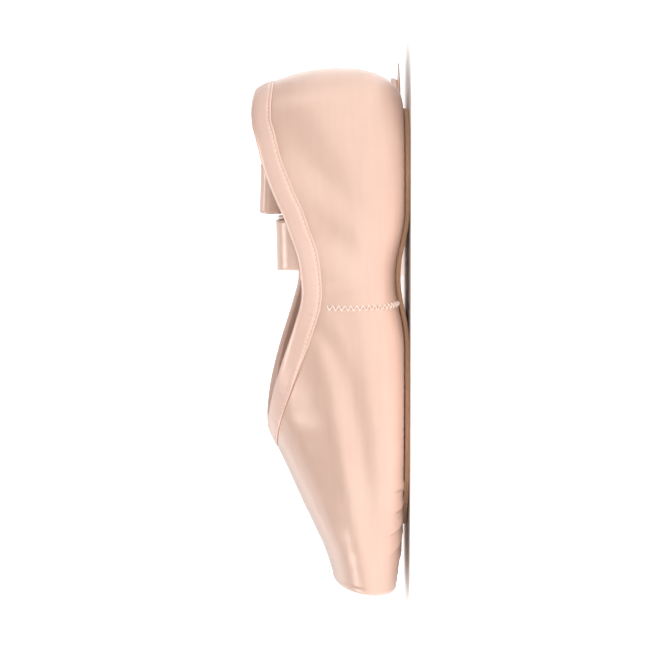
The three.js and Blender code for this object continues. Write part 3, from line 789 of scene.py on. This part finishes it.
def satin_finish(name, light, deep, rough=0.36, uneven=1.0):
    """Satin: fine floating threads along the shoe, a soft broad gloss, faint uneven bands,
    and shade painted into the folds of its pleats.
    """
    fixed = {
        "Metallic": 0.2, "Specular IOR Level": 1.0, "Sheen Weight": 0.05, "Sheen Roughness": 0.35,
        "Sheen Tint": (1.0, 0.93, 0.88, 1), "Coat Roughness": 0.24,
    }
    material, wire, surface = new_finish(name, fixed)
    uv = wire.node("ShaderNodeUVMap", {"uv_map": "thread"})
    fold = wire.node("ShaderNodeAttribute", {"attribute_name": "fold"}, out=PLAIN_NUMBER)
    floats = wire.noise(wire.stretched(uv, (420, 4200, 1)), 1.0, 2.0, 0.6)
    slubs = wire.noise(wire.stretched(uv, (26, 330, 1)), 1.0, 3.0, 0.6)
    clouds = wire.noise(wire.place(), 34.0, 2.0, 0.5)
    ripples = wire.noise(wire.stretched(uv, (60, 150, 1)), 1.0, 1.0, 0.4)
    tone = (clouds - 0.5) * 0.5 + (slubs - 0.5) * 0.35 + 0.4
    plain = wire.mixed(tone * uneven, light, deep)
    # Painted shade: the colour darkens towards the fold colour the deeper a point lies in a pleat's
    # fold.
    colour = wire.mixed(fold * 0.75, plain, PAINTED_FOLD_SHADE)
    under = wire.bump(ripples, 0.5, 0.0005)
    banded = wire.bump(slubs, 0.35, 0.00006, under)
    normal = wire.bump(floats, 0.3, 0.00003, banded)
    feed(surface, colour=colour, rough=(floats - 0.5) * 0.16 + (clouds - 0.5) * 0.1 + rough,
         coat=(clouds - 0.5) * 0.2 + 0.85, normal=normal)
    return material


def drill_finish(name, light, deep):
    """Plain cotton: small raised threads crossing each other, matt and a little uneven."""
    fixed = {"Specular IOR Level": 0.25, "Sheen Weight": 0.3, "Sheen Roughness": 0.6}
    material, wire, surface = new_finish(name, fixed)
    uv = wire.node("ShaderNodeUVMap", {"uv_map": "thread"})
    spun = {"Vector": uv, "Scale": 380.0, "Distortion": 0.6, "Detail Scale": 60.0}
    warp, weft = (
        wire.node("ShaderNodeTexWave", {"bands_direction": way}, spun, out=WAVE_NUMBER)
        for way in "XY"
    )
    weave = wire.maths("MAXIMUM", warp, weft)
    clouds = wire.noise(wire.place(), 60.0, 3.0, 0.55)
    nap = wire.noise(uv, 1500.0, 2.0, 0.6)
    colour = wire.mixed((clouds - 0.5) * 0.9 + weave * 0.3 + 0.2, deep, light)
    lumps = wire.bump(clouds, 0.25, 0.0004)
    woven = wire.bump(weave, 0.5, 0.00012, lumps)
    normal = wire.bump(nap, 0.3, 0.00005, woven)
    feed(surface, colour=colour, rough=nap * 0.15 + 0.75, normal=normal)
    return material


satin = satin_finish("satin", shade(230, 195, 177), shade(208, 165, 146))
lining_drill = drill_finish("lining_drill", shade(236, 214, 200), shade(216, 188, 170))


def make_upper():
    shell = Shell()
    outer, turns = shell_points(lambda s: np.zeros(np.shape(s)), OUTER_CELLS)
    inner, _ = shell_points(wall_at, INNER_CELLS)
    rows = len(turns)
    lifts = np.zeros(outer.shape[:2])
    runs = np.broadcast_to(RUNS[:, None], turns.shape)
    lifts[:rows] = seamed(runs, turns, outer[:rows])
    thread = thread_map(outer)
    inner_thread = thread_map(inner)
    normal = numeric_normals(outer)
    throat_row = int(np.searchsorted(RUNS, THROAT_RUN - RUN_SLACK))
    hole_row = int(np.argmax((RUNS > QUARTER) & (hole_half(run_to_s(RUNS)) <= 0)))
    for side in (1, -1):
        pleats, deep = pleated(outer, side)
        total = lifts + creased(outer, side) + pleats
        total[rows + RIM_ROWS:] *= np.linspace(1, 0, CAP_ROWS)[:, None]
        raised = outer + normal * total[..., None]
        raised[np.abs(outer[..., 1]) < MIDDLE_SLACK, 1] = 0
        made = raised if side == 1 else mirrored(raised)
        lined = inner if side == 1 else mirrored(inner)
        flip = side == -1
        a = shell.grid(made, thread, deep, 0, flip)
        b = shell.grid(lined, inner_thread, None, 1, not flip)
        top, low = a[:throat_row + 1, -1], b[:throat_row + 1, -1]
        shell.quads(top[:-1], low[:-1], low[1:], top[1:], 0, flip)
        top, low = a[:hole_row + 1, 0], b[:hole_row + 1, 0]
        shell.quads(low[:-1], top[:-1], top[1:], low[1:], 0, flip)
    return shell.piece("upper_satin", [satin, lining_drill])


upper = make_upper()
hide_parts("upper")
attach(upper, "root")


# Stitches: peach sewing thread. Every row is laid along a line on the surface, given with the
# direction that its cloth faces, and each stitch rises from the cloth and dips back into it.
STITCH_SIDES = 6
STITCH_BENDS = 7
STITCH_WOBBLE = 0.07
RANDOM_LEAST = 2
RANDOM_MOST = 3
RANDOM_NUMBER = 1


def stitch_tree():
    tree = bpy.data.node_groups.new("stitch_row", "GeometryNodeTree")
    face = tree.interface
    face.new_socket("Geometry", in_out="INPUT", socket_type="NodeSocketGeometry")
    for name in ("Pitch", "Long", "Thick", "Rise", "Slant"):
        face.new_socket(name, in_out="INPUT", socket_type="NodeSocketFloat")
    face.new_socket("Seed", in_out="INPUT", socket_type="NodeSocketInt")
    face.new_socket("Thread", in_out="INPUT", socket_type="NodeSocketMaterial")
    face.new_socket("Geometry", in_out="OUTPUT", socket_type="NodeSocketGeometry")
    given = tree.nodes.new("NodeGroupInput")
    entry = {socket.name: Wire(tree, socket) for socket in given.outputs}
    wire = Wire(tree)

    def step(kind, settings=None, **values):
        given = {key.replace("_", " "): value for key, value in values.items()}
        return wire.node("GeometryNode" + kind, settings, given)

    # One point for each stitch, turned by the slant to one side and the other in turn.
    path = step("MeshToCurve", Mesh=entry["Geometry"])
    row = step("ResampleCurve", {"mode": "LENGTH"}, Curve=path, Length=entry["Pitch"])
    facing = step("InputNamedAttribute", {"data_type": "FLOAT_VECTOR"}, Name="face")
    ahead = step("InputTangent")
    beside = wire.vectors("CROSS_PRODUCT", first=facing, second=ahead)
    way = wire.maths("MODULO", step("InputIndex"), 2.0) * 2.0 - 1.0
    wobble = {RANDOM_LEAST: -STITCH_WOBBLE, RANDOM_MOST: STITCH_WOBBLE, "Seed": entry["Seed"]}
    wobble = wire.node("FunctionNodeRandomValue", {"data_type": "FLOAT"}, wobble, out=RANDOM_NUMBER)
    slant = entry["Slant"] * way + wobble
    onward = wire.vectors("SCALE", first=ahead, scale=wire.maths("COSINE", slant))
    sideways = wire.vectors("SCALE", first=beside, scale=wire.maths("SINE", slant))
    along = wire.vectors("ADD", first=onward, second=sideways)
    align = "FunctionNodeAlignRotationToVector"
    turned = wire.node(align, {"axis": "X"}, {"Vector": along})
    upright = wire.node(align, {"axis": "Z", "pivot_axis": "X"}, {"Rotation": turned, "Vector": facing})

    # One stitch: a short round thread, arched out of the cloth.
    half = entry["Long"] * 0.5
    start = wire.node("ShaderNodeCombineXYZ", {}, {"X": half * -1.0})
    end = wire.node("ShaderNodeCombineXYZ", {}, {"X": half})
    line = step("CurvePrimitiveLine", Start=start, End=end)
    bent = step("ResampleCurve", {"mode": "COUNT"}, Curve=line, Count=STITCH_BENDS)
    x = wire.node("ShaderNodeSeparateXYZ", {}, {"Vector": step("InputPosition")})
    share = wire.maths("DIVIDE", x, half)
    high = (1.0 - share * share) * (entry["Rise"] + entry["Thick"]) - entry["Thick"] * 0.5
    offset = wire.node("ShaderNodeCombineXYZ", {}, {"Z": high})
    arched = step("SetPosition", Geometry=bent, Offset=offset)
    ring = step("CurvePrimitiveCircle", Resolution=STITCH_SIDES, Radius=entry["Thick"] * 0.5)
    thread = step("CurveToMesh", Curve=arched, Profile_Curve=ring, Fill_Caps=True)

    placed = step("InstanceOnPoints", Points=row, Instance=thread, Rotation=upright)
    real = step("RealizeInstances", Geometry=placed)
    dyed = step("SetMaterial", Geometry=real, Material=entry["Thread"])
    out = tree.nodes.new("NodeGroupOutput")
    tree.links.new(dyed.socket, out.inputs["Geometry"])
    return tree


def thread_finish(name, light, deep):
    """Spun cotton thread, a little lighter than the satin."""
    material, wire, surface = new_finish(name, {"Specular IOR Level": 0.3, "Sheen Weight": 0.3})
    fuzz = wire.noise(wire.place(), 2600.0, 2.0, 0.6)
    feed(surface, colour=wire.mixed(fuzz, deep, light), rough=fuzz * 0.2 + 0.5,
         normal=wire.bump(fuzz, 0.5, 0.00008))
    return material


stitches = stitch_tree()
seam_thread = thread_finish("seam_thread", shade(255, 246, 238), shade(250, 228, 214))


def stitch_row(name, rows, thread, seed, **sizes):
    """Sews rows of stitches. Each row is a list of points and of the directions they face."""
    points = np.concatenate([np.array(p) for p, _ in rows]) * MM
    faces = np.concatenate([unit(np.array(f)) for _, f in rows])
    edges, first = [], 0
    for p, _ in rows:
        edges += [(first + i, first + i + 1) for i in range(len(p) - 1)]
        first += len(p)
    mesh = bpy.data.meshes.new(name + "_path")
    mesh.from_pydata(points.tolist(), edges, [])
    facing = mesh.attributes.new("face", "FLOAT_VECTOR", "POINT")
    facing.data.foreach_set("vector", faces.reshape(-1))
    path = bpy.data.objects.new(name + "_path", mesh)
    bpy.context.scene.collection.objects.link(path)
    modifier = path.modifiers.new("stitches", "NODES")
    modifier.node_group = stitches
    sockets = {s.name: s.identifier for s in stitches.interface.items_tree if s.in_out == "INPUT"}
    for key, value in sizes.items():
        modifier[sockets[key.capitalize()]] = value * MM if key != "slant" else value
    modifier[sockets["Seed"]] = seed
    modifier[sockets["Thread"]] = thread
    bpy.context.view_layer.update()
    graph = bpy.context.evaluated_depsgraph_get()
    sewn = bpy.data.meshes.new_from_object(path.evaluated_get(graph), depsgraph=graph)
    sewn.name = name
    bpy.data.objects.remove(path)
    sewn.polygons.foreach_set("use_smooth", [True] * len(sewn.polygons))
    piece = bpy.data.objects.new(name, sewn)
    bpy.context.scene.collection.objects.link(piece)
    return piece


# Side seams: the two halves of the upper meet in a raised seam on each side. It is closed over
# with a zigzag of pale thread, from just above the sole to a little below the binding.
SEAM_LOW_TURN = -0.86
SEAM_TOP_TURN = 0.13
ZIGZAG_LIFT = 0.42


def seam_row(side):
    turn = np.linspace(SEAM_LOW_TURN, SEAM_TOP_TURN, 60)
    run = np.full(turn.shape, SEAM_RUN)
    points = on_skin(run, turn, np.full(turn.shape, ZIGZAG_LIFT))
    normals = skin_normal(run, turn)
    return (points, normals) if side == 1 else (mirrored(points), mirrored(normals))


for side, word in ((1, "left"), (-1, "right")):
    zigzag = stitch_row(
        "side_seam_stitches_" + word, [seam_row(side)], seam_thread, 3,
        pitch=1.3, long=2.7, thick=0.42, rise=0.3, slant=1.05,
    )
    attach(zigzag, "root")


# Outsole: one short piece of buffed leather, rounded at both ends and narrow at the waist, glued
# and tacked on. Its cut edge is tan, and its face is scored so that it doesn't slip.
SOLE_EDGE = 0.55
PLATE_END = 9
PLATE_END_ROWS = 25
PLATE_EDGE_CELLS = 5
CROWN_REACH = 8
SCORE_TURN = math.radians(42)
SCORES_FROM = -0.03
SCORES_DEEP = -0.012
WAIST_BEND = 0.047


def plate(name, material, half_at, span, low_at, thick_at, edge, rows, cells, crown=0.0):
    """A flat piece with rounded edges between two heights, of the given half width at each s."""
    start, end = span
    ease = np.linspace(0, 1, PLATE_END_ROWS, endpoint=False) ** 2 * PLATE_END
    middle = np.linspace(start + PLATE_END, end - PLATE_END, rows)
    s = np.concatenate([start + ease, middle, (end - ease)[::-1]])
    half = half_at(s)[:, None]
    low = low_at(s)[:, None]
    top = low + thick_at(s)[:, None]
    bevel = np.minimum(edge, np.minimum(half, (top - low) / 2))
    corner = np.radians(np.linspace(0, 90, PLATE_EDGE_CELLS + 1))
    across = np.linspace(0, 1, cells)
    outs = np.concatenate([
        (half - bevel) * across, half - bevel + bevel * np.sin(corner[1:]),
        half - bevel + bevel * np.cos(corner), ((half - bevel) * across[::-1])[:, 1:],
    ], axis=1)
    bulge = crown * (1 - (across[::-1][1:]) ** 2) * smooth(half / CROWN_REACH)
    flat = np.ones_like(across)
    ups = np.concatenate([
        low * flat, low + bevel - bevel * np.cos(corner[1:]),
        top - bevel + bevel * np.sin(corner), top * np.ones(cells - 1) + bulge,
    ], axis=1)
    x = np.broadcast_to(s[:, None] - BALL_S, outs.shape)
    points = np.stack([x, outs, ups], -1)
    rim = np.zeros(outs.shape)
    rim[:, cells:cells + len(corner) * 2 - 1] = 1
    thread = np.stack([x, outs], -1)
    shell = Shell()
    shell.grid(points, thread, rim)
    shell.grid(mirrored(points), thread * np.array([1, -1]), rim, flip=True)
    return shell.piece(name, [material])


def leather_finish():
    """Pale buffed split leather: soft grain, diagonal scores, and a darker burnished edge."""
    material, wire, surface = new_finish("buffed_leather", {"Specular IOR Level": 0.35})
    place = wire.place()
    rim = wire.node("ShaderNodeAttribute", {"attribute_name": "fold"}, out=PLAIN_NUMBER)
    grain = wire.noise(place, 900.0, 4.0, 0.65)
    clouds = wire.noise(place, 42.0, 3.0, 0.55)
    layers = wire.noise(wire.stretched(place, (60, 60, 2400)), 1.0, 2.0, 0.5)
    slanted = wire.node("ShaderNodeMapping", {}, {"Vector": place, "Rotation": (0, 0, SCORE_TURN)})
    waves = {"Vector": slanted, "Scale": 58.0, "Distortion": 0.4}
    scores = wire.node("ShaderNodeTexWave", {"wave_profile": "SAW"}, waves, out=WAVE_NUMBER)
    cut = 1.0 - scores.ramped(0.0, 0.09)
    ahead = wire.node("ShaderNodeSeparateXYZ", {}, {"Vector": place})
    ball = ahead.ramped(SCORES_FROM, SCORES_DEEP)
    bend = wire.maths("ABSOLUTE", ahead + WAIST_BEND).ramped(0.0, 0.0006)
    face = wire.mixed(clouds * 0.7 + grain * 0.2, shade(247, 217, 202), shade(234, 196, 178))
    edge = wire.mixed(layers * 0.6 + grain * 0.3, shade(222, 184, 152), shade(190, 148, 114))
    buffed = wire.bump(grain, 0.35, 0.00012)
    scored = wire.bump(1.0 - cut * ball, 0.8, 0.0003, buffed)
    bent = wire.bump(bend, 0.6, 0.0003, scored)
    feed(surface, colour=wire.mixed(rim, face, edge), rough=grain * 0.15 + 0.58, normal=bent)
    return material


outsole = plate(
    "outsole_leather", leather_finish(), sole_half, (SOLE_START_S, SOLE_END_S), floor_height,
    lambda s: np.full(s.shape, SOLE_THICK), SOLE_EDGE, rows=220, cells=24,
)
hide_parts("outsole")
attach(outsole, "root")


# Insole: a thin board covered with plain cotton, glued onto the drawn-in edge of the upper. Below
# it a pad of the same stuff fills the space between that edge and the sole.
INSOLE_THICK = 1.5
INSOLE_START_S = 18.5
INSOLE_END_S = 214
INSOLE_INSET = 0.8
INSOLE_EDGE = 0.6
INSOLE_CROWN = 0.35
PAD_START_S = 27
PAD_END_S = 194
PAD_INSET = 0.6
PAD_EDGE = 0.2


def insole_floor(s):
    return upper_floor(s) + wall_at(s) + GAP


def flat_half(s):
    return section["flat"](run_at(np.maximum(s, HEEL_AXIS_S))) - INSOLE_INSET


def pad_half(s):
    return np.maximum(hole_half(s) - PAD_INSET, 0) * (s > PAD_START_S) * (s < PAD_END_S)


board_drill = drill_finish("board_drill", shade(240, 226, 214), shade(222, 202, 188))
insole = plate(
    "insole_cloth", board_drill, rounded_ends(flat_half, INSOLE_START_S, INSOLE_END_S, 16, 14),
    (INSOLE_START_S, INSOLE_END_S), insole_floor, lambda s: np.full(s.shape, INSOLE_THICK),
    INSOLE_EDGE, rows=160, cells=16, crown=INSOLE_CROWN,
)
pad = plate(
    "insole_pad", board_drill, pad_half, (PAD_START_S, PAD_END_S), upper_floor,
    lambda s: wall_at(s) + GAP * 0.5, PAD_EDGE, rows=60, cells=5,
)
for piece in (insole, pad):
    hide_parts("insole")
    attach(piece, "root")


# Binding: a narrow tape of the satin folded over the edge of the opening and sewn down along its
# lower edge. The drawstring inside makes it a little round, and its ends meet at the throat.
BINDING_GAP = 0.4
BINDING_THICK = 0.7
BINDING_RUNS = RUNS[RUNS <= THROAT_RUN + RUN_SLACK]
BINDING_STEP = 1e-3
BINDING_ROUND = 0.85
BINDING_PROUD = 1.1
BINDING_TOP, BINDING_TOP_CELLS = 0.8, 8
BINDING_FOOT = 0.25
BINDING_LINED = 4
LINED_GAP = 0.1
LINED_TOP = 0.12
NOTCH_HALF = 1.3
NOTCH_DEEP = 0.4

# The drawstring gathers the tape a little all along, and more at the throat and at the heel. The
# puckers are highest at PUCKER_DEEP below the edge, and stand only where the tape is lifted by more
# than PUCKERED_LIFT.
GATHER = 0.05
GATHER_THROAT, GATHER_THROAT_REACH = 0.12, 22
GATHER_HEEL, GATHER_HEEL_REACH = 0.06, 14
PUCKER_DEEP = 4
PUCKERED_LIFT = 0.4

# Round the tape from its lower outer edge over the top to its lower inner edge, and back inside.
# deep: from the edge of the opening down, lift: from the satin or, inside, from the lining.
TAPE = [
    dict(deep=8.35, lift=0.12), dict(deep=8.5, lift=0.3), dict(deep=8.42, lift=0.62),
    dict(deep=8.1, lift=0.78), dict(deep=7.5, lift=0.72), dict(deep=7.15, lift=0.52),
    dict(deep=6.8, lift=0.72), dict(deep=6.0, lift=0.84), dict(deep=4.6, lift=0.92),
    dict(deep=3.2, lift=1.02), dict(deep=2.1, lift=1.1), dict(deep=1.1, lift=1.08),
    dict(deep=0.3, lift=0.94),
]


def collar_points(run):
    points = skin(run, collar_round(run))
    points[(run >= THROAT_RUN - RUN_SLACK) | (run <= RUN_SLACK), 1] = 0
    return points


def collar_frame(run):
    """At the edge of the opening: its points, the way out of the satin and the way down it."""
    edge = collar_points(run)
    normal = skin_normal(run, collar_round(run))
    before = np.maximum(run - BINDING_STEP, 0)
    after = np.minimum(run + BINDING_STEP, THROAT_RUN)
    ahead = unit(skin(after, collar_round(after)) - skin(before, collar_round(before)))
    ahead[run <= RUN_SLACK] = (0, 1, 0)
    ahead[run >= THROAT_RUN - RUN_SLACK] = (0, -1, 0)
    away = unit(np.cross(normal, ahead))
    return edge, normal, away


def binding_points(side):
    """The tape's left half, row by row, with the puckers of one side of the shoe."""
    run = BINDING_RUNS
    edge, normal, away = collar_frame(run)
    wall = wall_at(run_to_s(run))[:, None]
    from_throat = THROAT_RUN - run
    notch = bell(from_throat / NOTCH_HALF)
    gather = GATHER + GATHER_THROAT * bell(from_throat / GATHER_THROAT_REACH)
    gather = gather + GATHER_HEEL * bell(run / GATHER_HEEL_REACH)
    # The two halves agree where they meet, at the heel and at the throat.
    turned = side * np.sin(math.pi * run / run[-1])
    pucker = gather * (np.sin(run * 1.9 + turned) + 0.7 * np.sin(run * 3.1 + 2 * turned))
    columns = []

    def beside(row, inside):
        start = edge + away * row["deep"]
        wall_here = wall_at(start[:, 0] + BALL_S)
        share = min(row["deep"], 2 * PUCKER_DEEP) / (2 * PUCKER_DEEP)
        fine = pucker * (0.3 + 0.7 * math.sin(math.pi * share))
        lift = row["lift"]
        if lift > PUCKERED_LIFT:
            lift = lift + fine - notch * NOTCH_DEEP
        lift = np.minimum(lift, BINDING_PROUD)
        return nearest_on_skin(start, -wall_here - lift if inside else np.broadcast_to(lift, run.shape))

    for row in TAPE:
        columns.append(beside(row, False))
    for step in range(1, BINDING_TOP_CELLS):
        angle = math.pi * step / BINDING_TOP_CELLS
        rise = (BINDING_FOOT + BINDING_TOP * math.sin(angle)) * (1 - 0.5 * notch)[:, None]
        rise = rise + 0.35 * pucker[:, None] - BINDING_FOOT
        across = -wall * (0.5 - 0.5 * math.cos(angle)) + BINDING_ROUND * math.cos(angle)
        columns.append(edge - away * rise + normal * across)
    for row in reversed(TAPE):
        columns.append(beside(row, True))

    # The hidden face of the fold goes back up along the lining, over the edge and down the satin.
    lined = edge + away * BINDING_LINED
    over = edge - away * LINED_TOP
    columns.append(nearest_on_skin(lined, -wall_at(lined[:, 0] + BALL_S) - LINED_GAP))
    columns.append(over - normal * (wall + LINED_GAP))
    columns.append(over + normal * LINED_GAP)
    columns.append(nearest_on_skin(lined, np.full(run.shape, LINED_GAP)))
    columns.append(columns[0])
    points = np.stack(columns, axis=1)
    points[:, :, 1] = np.maximum(points[:, :, 1], 0)
    points[0, :, 1] = 0
    points[-1, :, 1] = 0
    return points


binding_satin = satin_finish(
    "binding_satin", shade(238, 203, 187), shade(222, 179, 161), rough=0.42, uneven=0.9,
)


def make_binding():
    shell = Shell()
    for side in (1, -1):
        points = binding_points(side)
        around = np.linalg.norm(np.diff(points, axis=1), axis=-1)
        around = np.concatenate([np.zeros((len(points), 1)), np.cumsum(around, axis=1)], axis=1)
        along = np.broadcast_to(BINDING_RUNS[:, None], around.shape)
        thread = np.stack([along, around], -1)
        made = points if side == 1 else mirrored(points)
        shell.grid(made, thread, flip=side == -1)
    return shell.piece("binding_tape", [binding_satin])


binding = make_binding()
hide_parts("binding")
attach(binding, "root")


BINDING_ROW = 7.15
BINDING_ROW_LIFT = 0.56
BINDING_ROW_FROM = 1.5
BINDING_ROW_SHORT = 1.0
BINDING_ROW_POINTS = 260


def binding_row(side, deep, lift):
    """The line of the binding's stitches, outside where lift is above 0 and else inside."""
    run = np.linspace(BINDING_ROW_FROM, THROAT_RUN - BINDING_ROW_SHORT, BINDING_ROW_POINTS)
    edge, _, away = collar_frame(run)
    start = edge + away * deep
    if lift < 0:
        lift = lift - wall_at(start[:, 0] + BALL_S)
    points = nearest_on_skin(start, np.broadcast_to(lift, run.shape))
    above = nearest_on_skin(start, np.broadcast_to(lift, run.shape) + 0.5)
    facing = unit(above - points)
    if np.mean(lift) < 0:
        facing = -facing
    return (points, facing) if side == 1 else (mirrored(points), mirrored(facing))


binding_rows = [
    binding_row(side, BINDING_ROW, lift)
    for side in (1, -1) for lift in (BINDING_ROW_LIFT, -BINDING_ROW_LIFT)
]
binding_stitches = stitch_row(
    "binding_stitches", binding_rows, seam_thread, 5,
    pitch=2.1, long=1.5, thick=0.2, rise=0.03, slant=0.0,
)
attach(binding_stitches, "root")


# Ribbons: two strips of soft satin ribbon with woven edges, each sewn to the lining inside one
# side. The left one falls across the opening, and both lie in loose folds on the floor.
RIBBON_WIDE = 22
RIBBON_LONG = 460
RIBBON_FLOOR = 0.5
RIBBON_THICK = 0.7
RIBBON_CLOTH = 0.3
RIBBON_CELLS = 16
WOVEN_EDGE, WOVEN_EDGE_WIDE, WOVEN_EDGE_THICK = 0.95, 0.05, 0.5
RIBBON_WAVE = 0.12
WAVES_FROM, WAVES_FROM_OVER = 24, 20
WAVES_PAST_END, WAVES_END_OVER = 4, 12
LEFT_SAG = dict(deep=3.6, start=27, end=88)
FLAT_STEP = 4.0
BEND_STEP = 9
LEFT_RIBBON_S = 76
RIGHT_RIBBON_S = 57
RIBBON_LOW = 0.04
UP = (0, 0, 1)
DOWN = (0, 0, -1)
LEFT_BENDS = [
    dict(at=22, skew=3, turn=-85, radius=9),
    dict(at=85, face=(-0.12, -0.99, 0.14), radius=6),
    dict(at=114, face=(-0.08, -1, 0), radius=20),
    dict(at=126, face=UP, radius=7, on_floor=True),
    dict(at=168, skew=-50, turn=187, radius=1.6),
    dict(at=221, face=DOWN, radius=20, on_floor=True),
    dict(at=303, skew=-9, turn=-182.3, radius=1.6),
    dict(at=390, face=UP, radius=20, on_floor=True),
]
RIGHT_BENDS = [
    dict(at=30, skew=0, turn=-174, radius=4),
    dict(at=66, face=(0.05, -1, 0), radius=20),
    dict(at=92, face=UP, radius=7, on_floor=True),
    dict(at=122, skew=47, turn=187, radius=1.6),
    dict(at=150, face=DOWN, radius=20, on_floor=True),
    dict(at=162, skew=41, turn=-187, radius=1.6),
    dict(at=210, face=UP, radius=20, on_floor=True),
    dict(at=238, skew=-56, turn=187, radius=1.6),
    dict(at=305, face=DOWN, radius=20, on_floor=True),
]


def turned_about(vectors, axis, angle):
    """Vectors turned round an axis by an angle."""
    axis = np.broadcast_to(axis, vectors.shape)
    along = axis * np.sum(axis * vectors, -1, keepdims=True)
    return along + (vectors - along) * np.cos(angle) + np.cross(axis, vectors) * np.sin(angle)


class Strip:
    """A flat stretch of ribbon: a point on its middle line, and its directions."""

    def __init__(self, origin, along, across):
        self.origin, self.along, self.across = origin, along, across
        self.face = np.cross(along, across)

    def at(self, u, v):
        return self.origin + np.multiply.outer(u, self.along) + np.multiply.outer(v, self.across)


def strip_start(s, side):
    run = run_at(s)
    inside = -float(wall_at(s)) - BINDING_GAP - BINDING_THICK - RIBBON_THICK / 2 - 2 * GAP
    foot = on_skin(run, RIBBON_LOW, inside)
    top = on_skin(run, collar_round(run), inside)
    along = unit(top - foot)
    ends = collar_points(np.array([run - 3, run + 3]))
    across = unit(ends[1] - ends[0])
    flip = np.array([1, side, 1])
    foot, along, across = foot * flip, along * flip, across * flip
    return Strip(foot, along, unit(across - along * np.dot(across, along)))


def bend_angles(strip, row):
    """The slant of the line that the strip bends round, and how far it turns there."""
    if "face" not in row:
        return math.radians(row["skew"]), math.radians(row["turn"])
    target = unit(np.array(row["face"], float))
    axis = unit(np.cross(strip.face, target))
    if np.dot(axis, strip.across) < 0:
        axis = -axis
    skew = math.atan2(-np.dot(axis, strip.along), np.dot(axis, strip.across))
    turn = -math.atan2(np.dot(np.cross(strip.face, target), axis), np.dot(strip.face, target))
    return skew, turn


def bend_strip(strip, row, at, steps, v):
    """The rows of points and their faces through one bend, and the flat stretch after it."""
    skew, turn = bend_angles(strip, row)
    radius, sense, angle = row["radius"], np.sign(turn), abs(turn)
    onward = strip.along * math.cos(skew) + strip.across * math.sin(skew)
    axis = strip.across * math.cos(skew) - strip.along * math.sin(skew)
    foot = strip.origin + strip.along * at

    def point(reach, way):
        phi = (reach / radius)[..., None]
        rise = strip.face * sense * radius * (1 - np.cos(phi))
        return foot + way[..., None] * axis + onward * radius * np.sin(phi) + rise

    reach = np.linspace(0, radius * angle, steps + 1)[:, None] * np.ones_like(v)
    u = reach / math.cos(skew) - v * math.tan(skew)
    points = point(reach, -u * math.sin(skew) + v * math.cos(skew))
    face = np.broadcast_to(strip.face, points.shape)
    faces = turned_about(face, axis, -sense * (reach / radius)[..., None])
    along = turned_about(strip.along, axis, -sense * angle)
    across = turned_about(strip.across, axis, -sense * angle)
    length = radius * angle
    origin = point(np.array(length), np.array(0.0))
    origin = origin - along * (at + length * math.cos(skew)) - across * (length * math.sin(skew))
    return points, faces, at + u, Strip(origin, along, across)


def ribbon_grid(strip, bends, cells):
    """The ribbon's middle surface: points, faces and the way along it, row by row."""
    v = np.linspace(-RIBBON_WIDE / 2, RIBBON_WIDE / 2, cells + 1)

    def flat(u):
        along = np.full(v.shape, u)
        return strip.at(along, v), np.broadcast_to(strip.face, (len(v), 3)), along

    rows = [flat(0.0)]

    def go_to(points, faces, u):
        last = rows[-1]
        gap = np.linalg.norm(points - last[0], axis=-1).max()
        steps = max(1, int(round(gap / FLAT_STEP)))
        for k in range(1, steps + 1):
            t = k / steps
            rows.append(tuple(a * (1 - t) + b * t for a, b in zip(last, (points, faces, u))))

    for row in bends:
        at = row["at"]
        steps = max(4, math.ceil(math.degrees(abs(bend_angles(strip, row)[1])) / BEND_STEP))
        made = bend_strip(strip, row, at, steps, v)
        if row.get("on_floor"):
            at -= (made[3].origin[2] - RIBBON_FLOOR) / strip.along[2]
            made = bend_strip(strip, row, at, steps, v)
        points, faces, u, after = made
        go_to(points[0], faces[0], u[0])
        rows += list(zip(points[1:], faces[1:], u[1:]))
        strip = after
    go_to(*flat(float(RIBBON_LONG)))
    points, faces, u = (np.stack(parts) for parts in zip(*rows))
    return points, unit(faces), u, np.broadcast_to(v, u.shape)


def make_ribbon(name, strip, bends, seed, sag=None):
    """The folded ribbon, with thicker woven edges, faint waves, and a sag where it hangs free."""
    points, faces, u, v = ribbon_grid(strip, bends, RIBBON_CELLS)
    edge = np.abs(v) / (RIBBON_WIDE / 2)
    thicker = WOVEN_EDGE_THICK * bell((edge - WOVEN_EDGE) / WOVEN_EDGE_WIDE)
    thick = RIBBON_CLOTH / 2 * (1 + thicker)
    free = smooth((u - WAVES_FROM) / WAVES_FROM_OVER)
    free = free * smooth((RIBBON_LONG + WAVES_PAST_END - u) / WAVES_END_OVER)
    wave = np.sin(u * 0.11 + seed) * np.cos(v * 0.16 + seed)
    wave = wave + 0.5 * np.sin(u * 0.23 + v * 0.12 + 2 * seed)
    middle = points + faces * (RIBBON_WAVE * wave * free)[..., None]
    if sag:
        over = np.clip((u - sag["start"]) / (sag["end"] - sag["start"]), 0, 1)
        middle[..., 2] -= sag["deep"] * np.sin(np.pi * over) ** 2
    top = middle + faces * thick[..., None]
    low = middle - faces * thick[..., None]
    thread = np.stack([u, v], -1)
    shell = Shell()
    a = shell.grid(top, thread, flip=True)
    b = shell.grid(low, thread)
    for i, turned in ((0, False), (-1, True)):
        shell.quads(a[i, :-1], a[i, 1:], b[i, 1:], b[i, :-1], flip=turned)
        shell.quads(a[:-1, i], a[1:, i], b[1:, i], b[:-1, i], flip=not turned)
    return shell.piece(name, [ribbon_satin])


ribbon_satin = satin_finish(
    "ribbon_satin", shade(236, 201, 184), shade(220, 180, 162), rough=0.4, uneven=0.8,
)
left_start = strip_start(LEFT_RIBBON_S, 1)
right_start = strip_start(RIGHT_RIBBON_S, -1)
left_ribbon = make_ribbon("ribbon_left_satin", left_start, LEFT_BENDS, 1, LEFT_SAG)
right_ribbon = make_ribbon("ribbon_right_satin", right_start, RIGHT_BENDS, 4)
for piece, node in ((left_ribbon, "ribbon_left"), (right_ribbon, "ribbon_right")):
    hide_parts(node)
    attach(piece, "root")
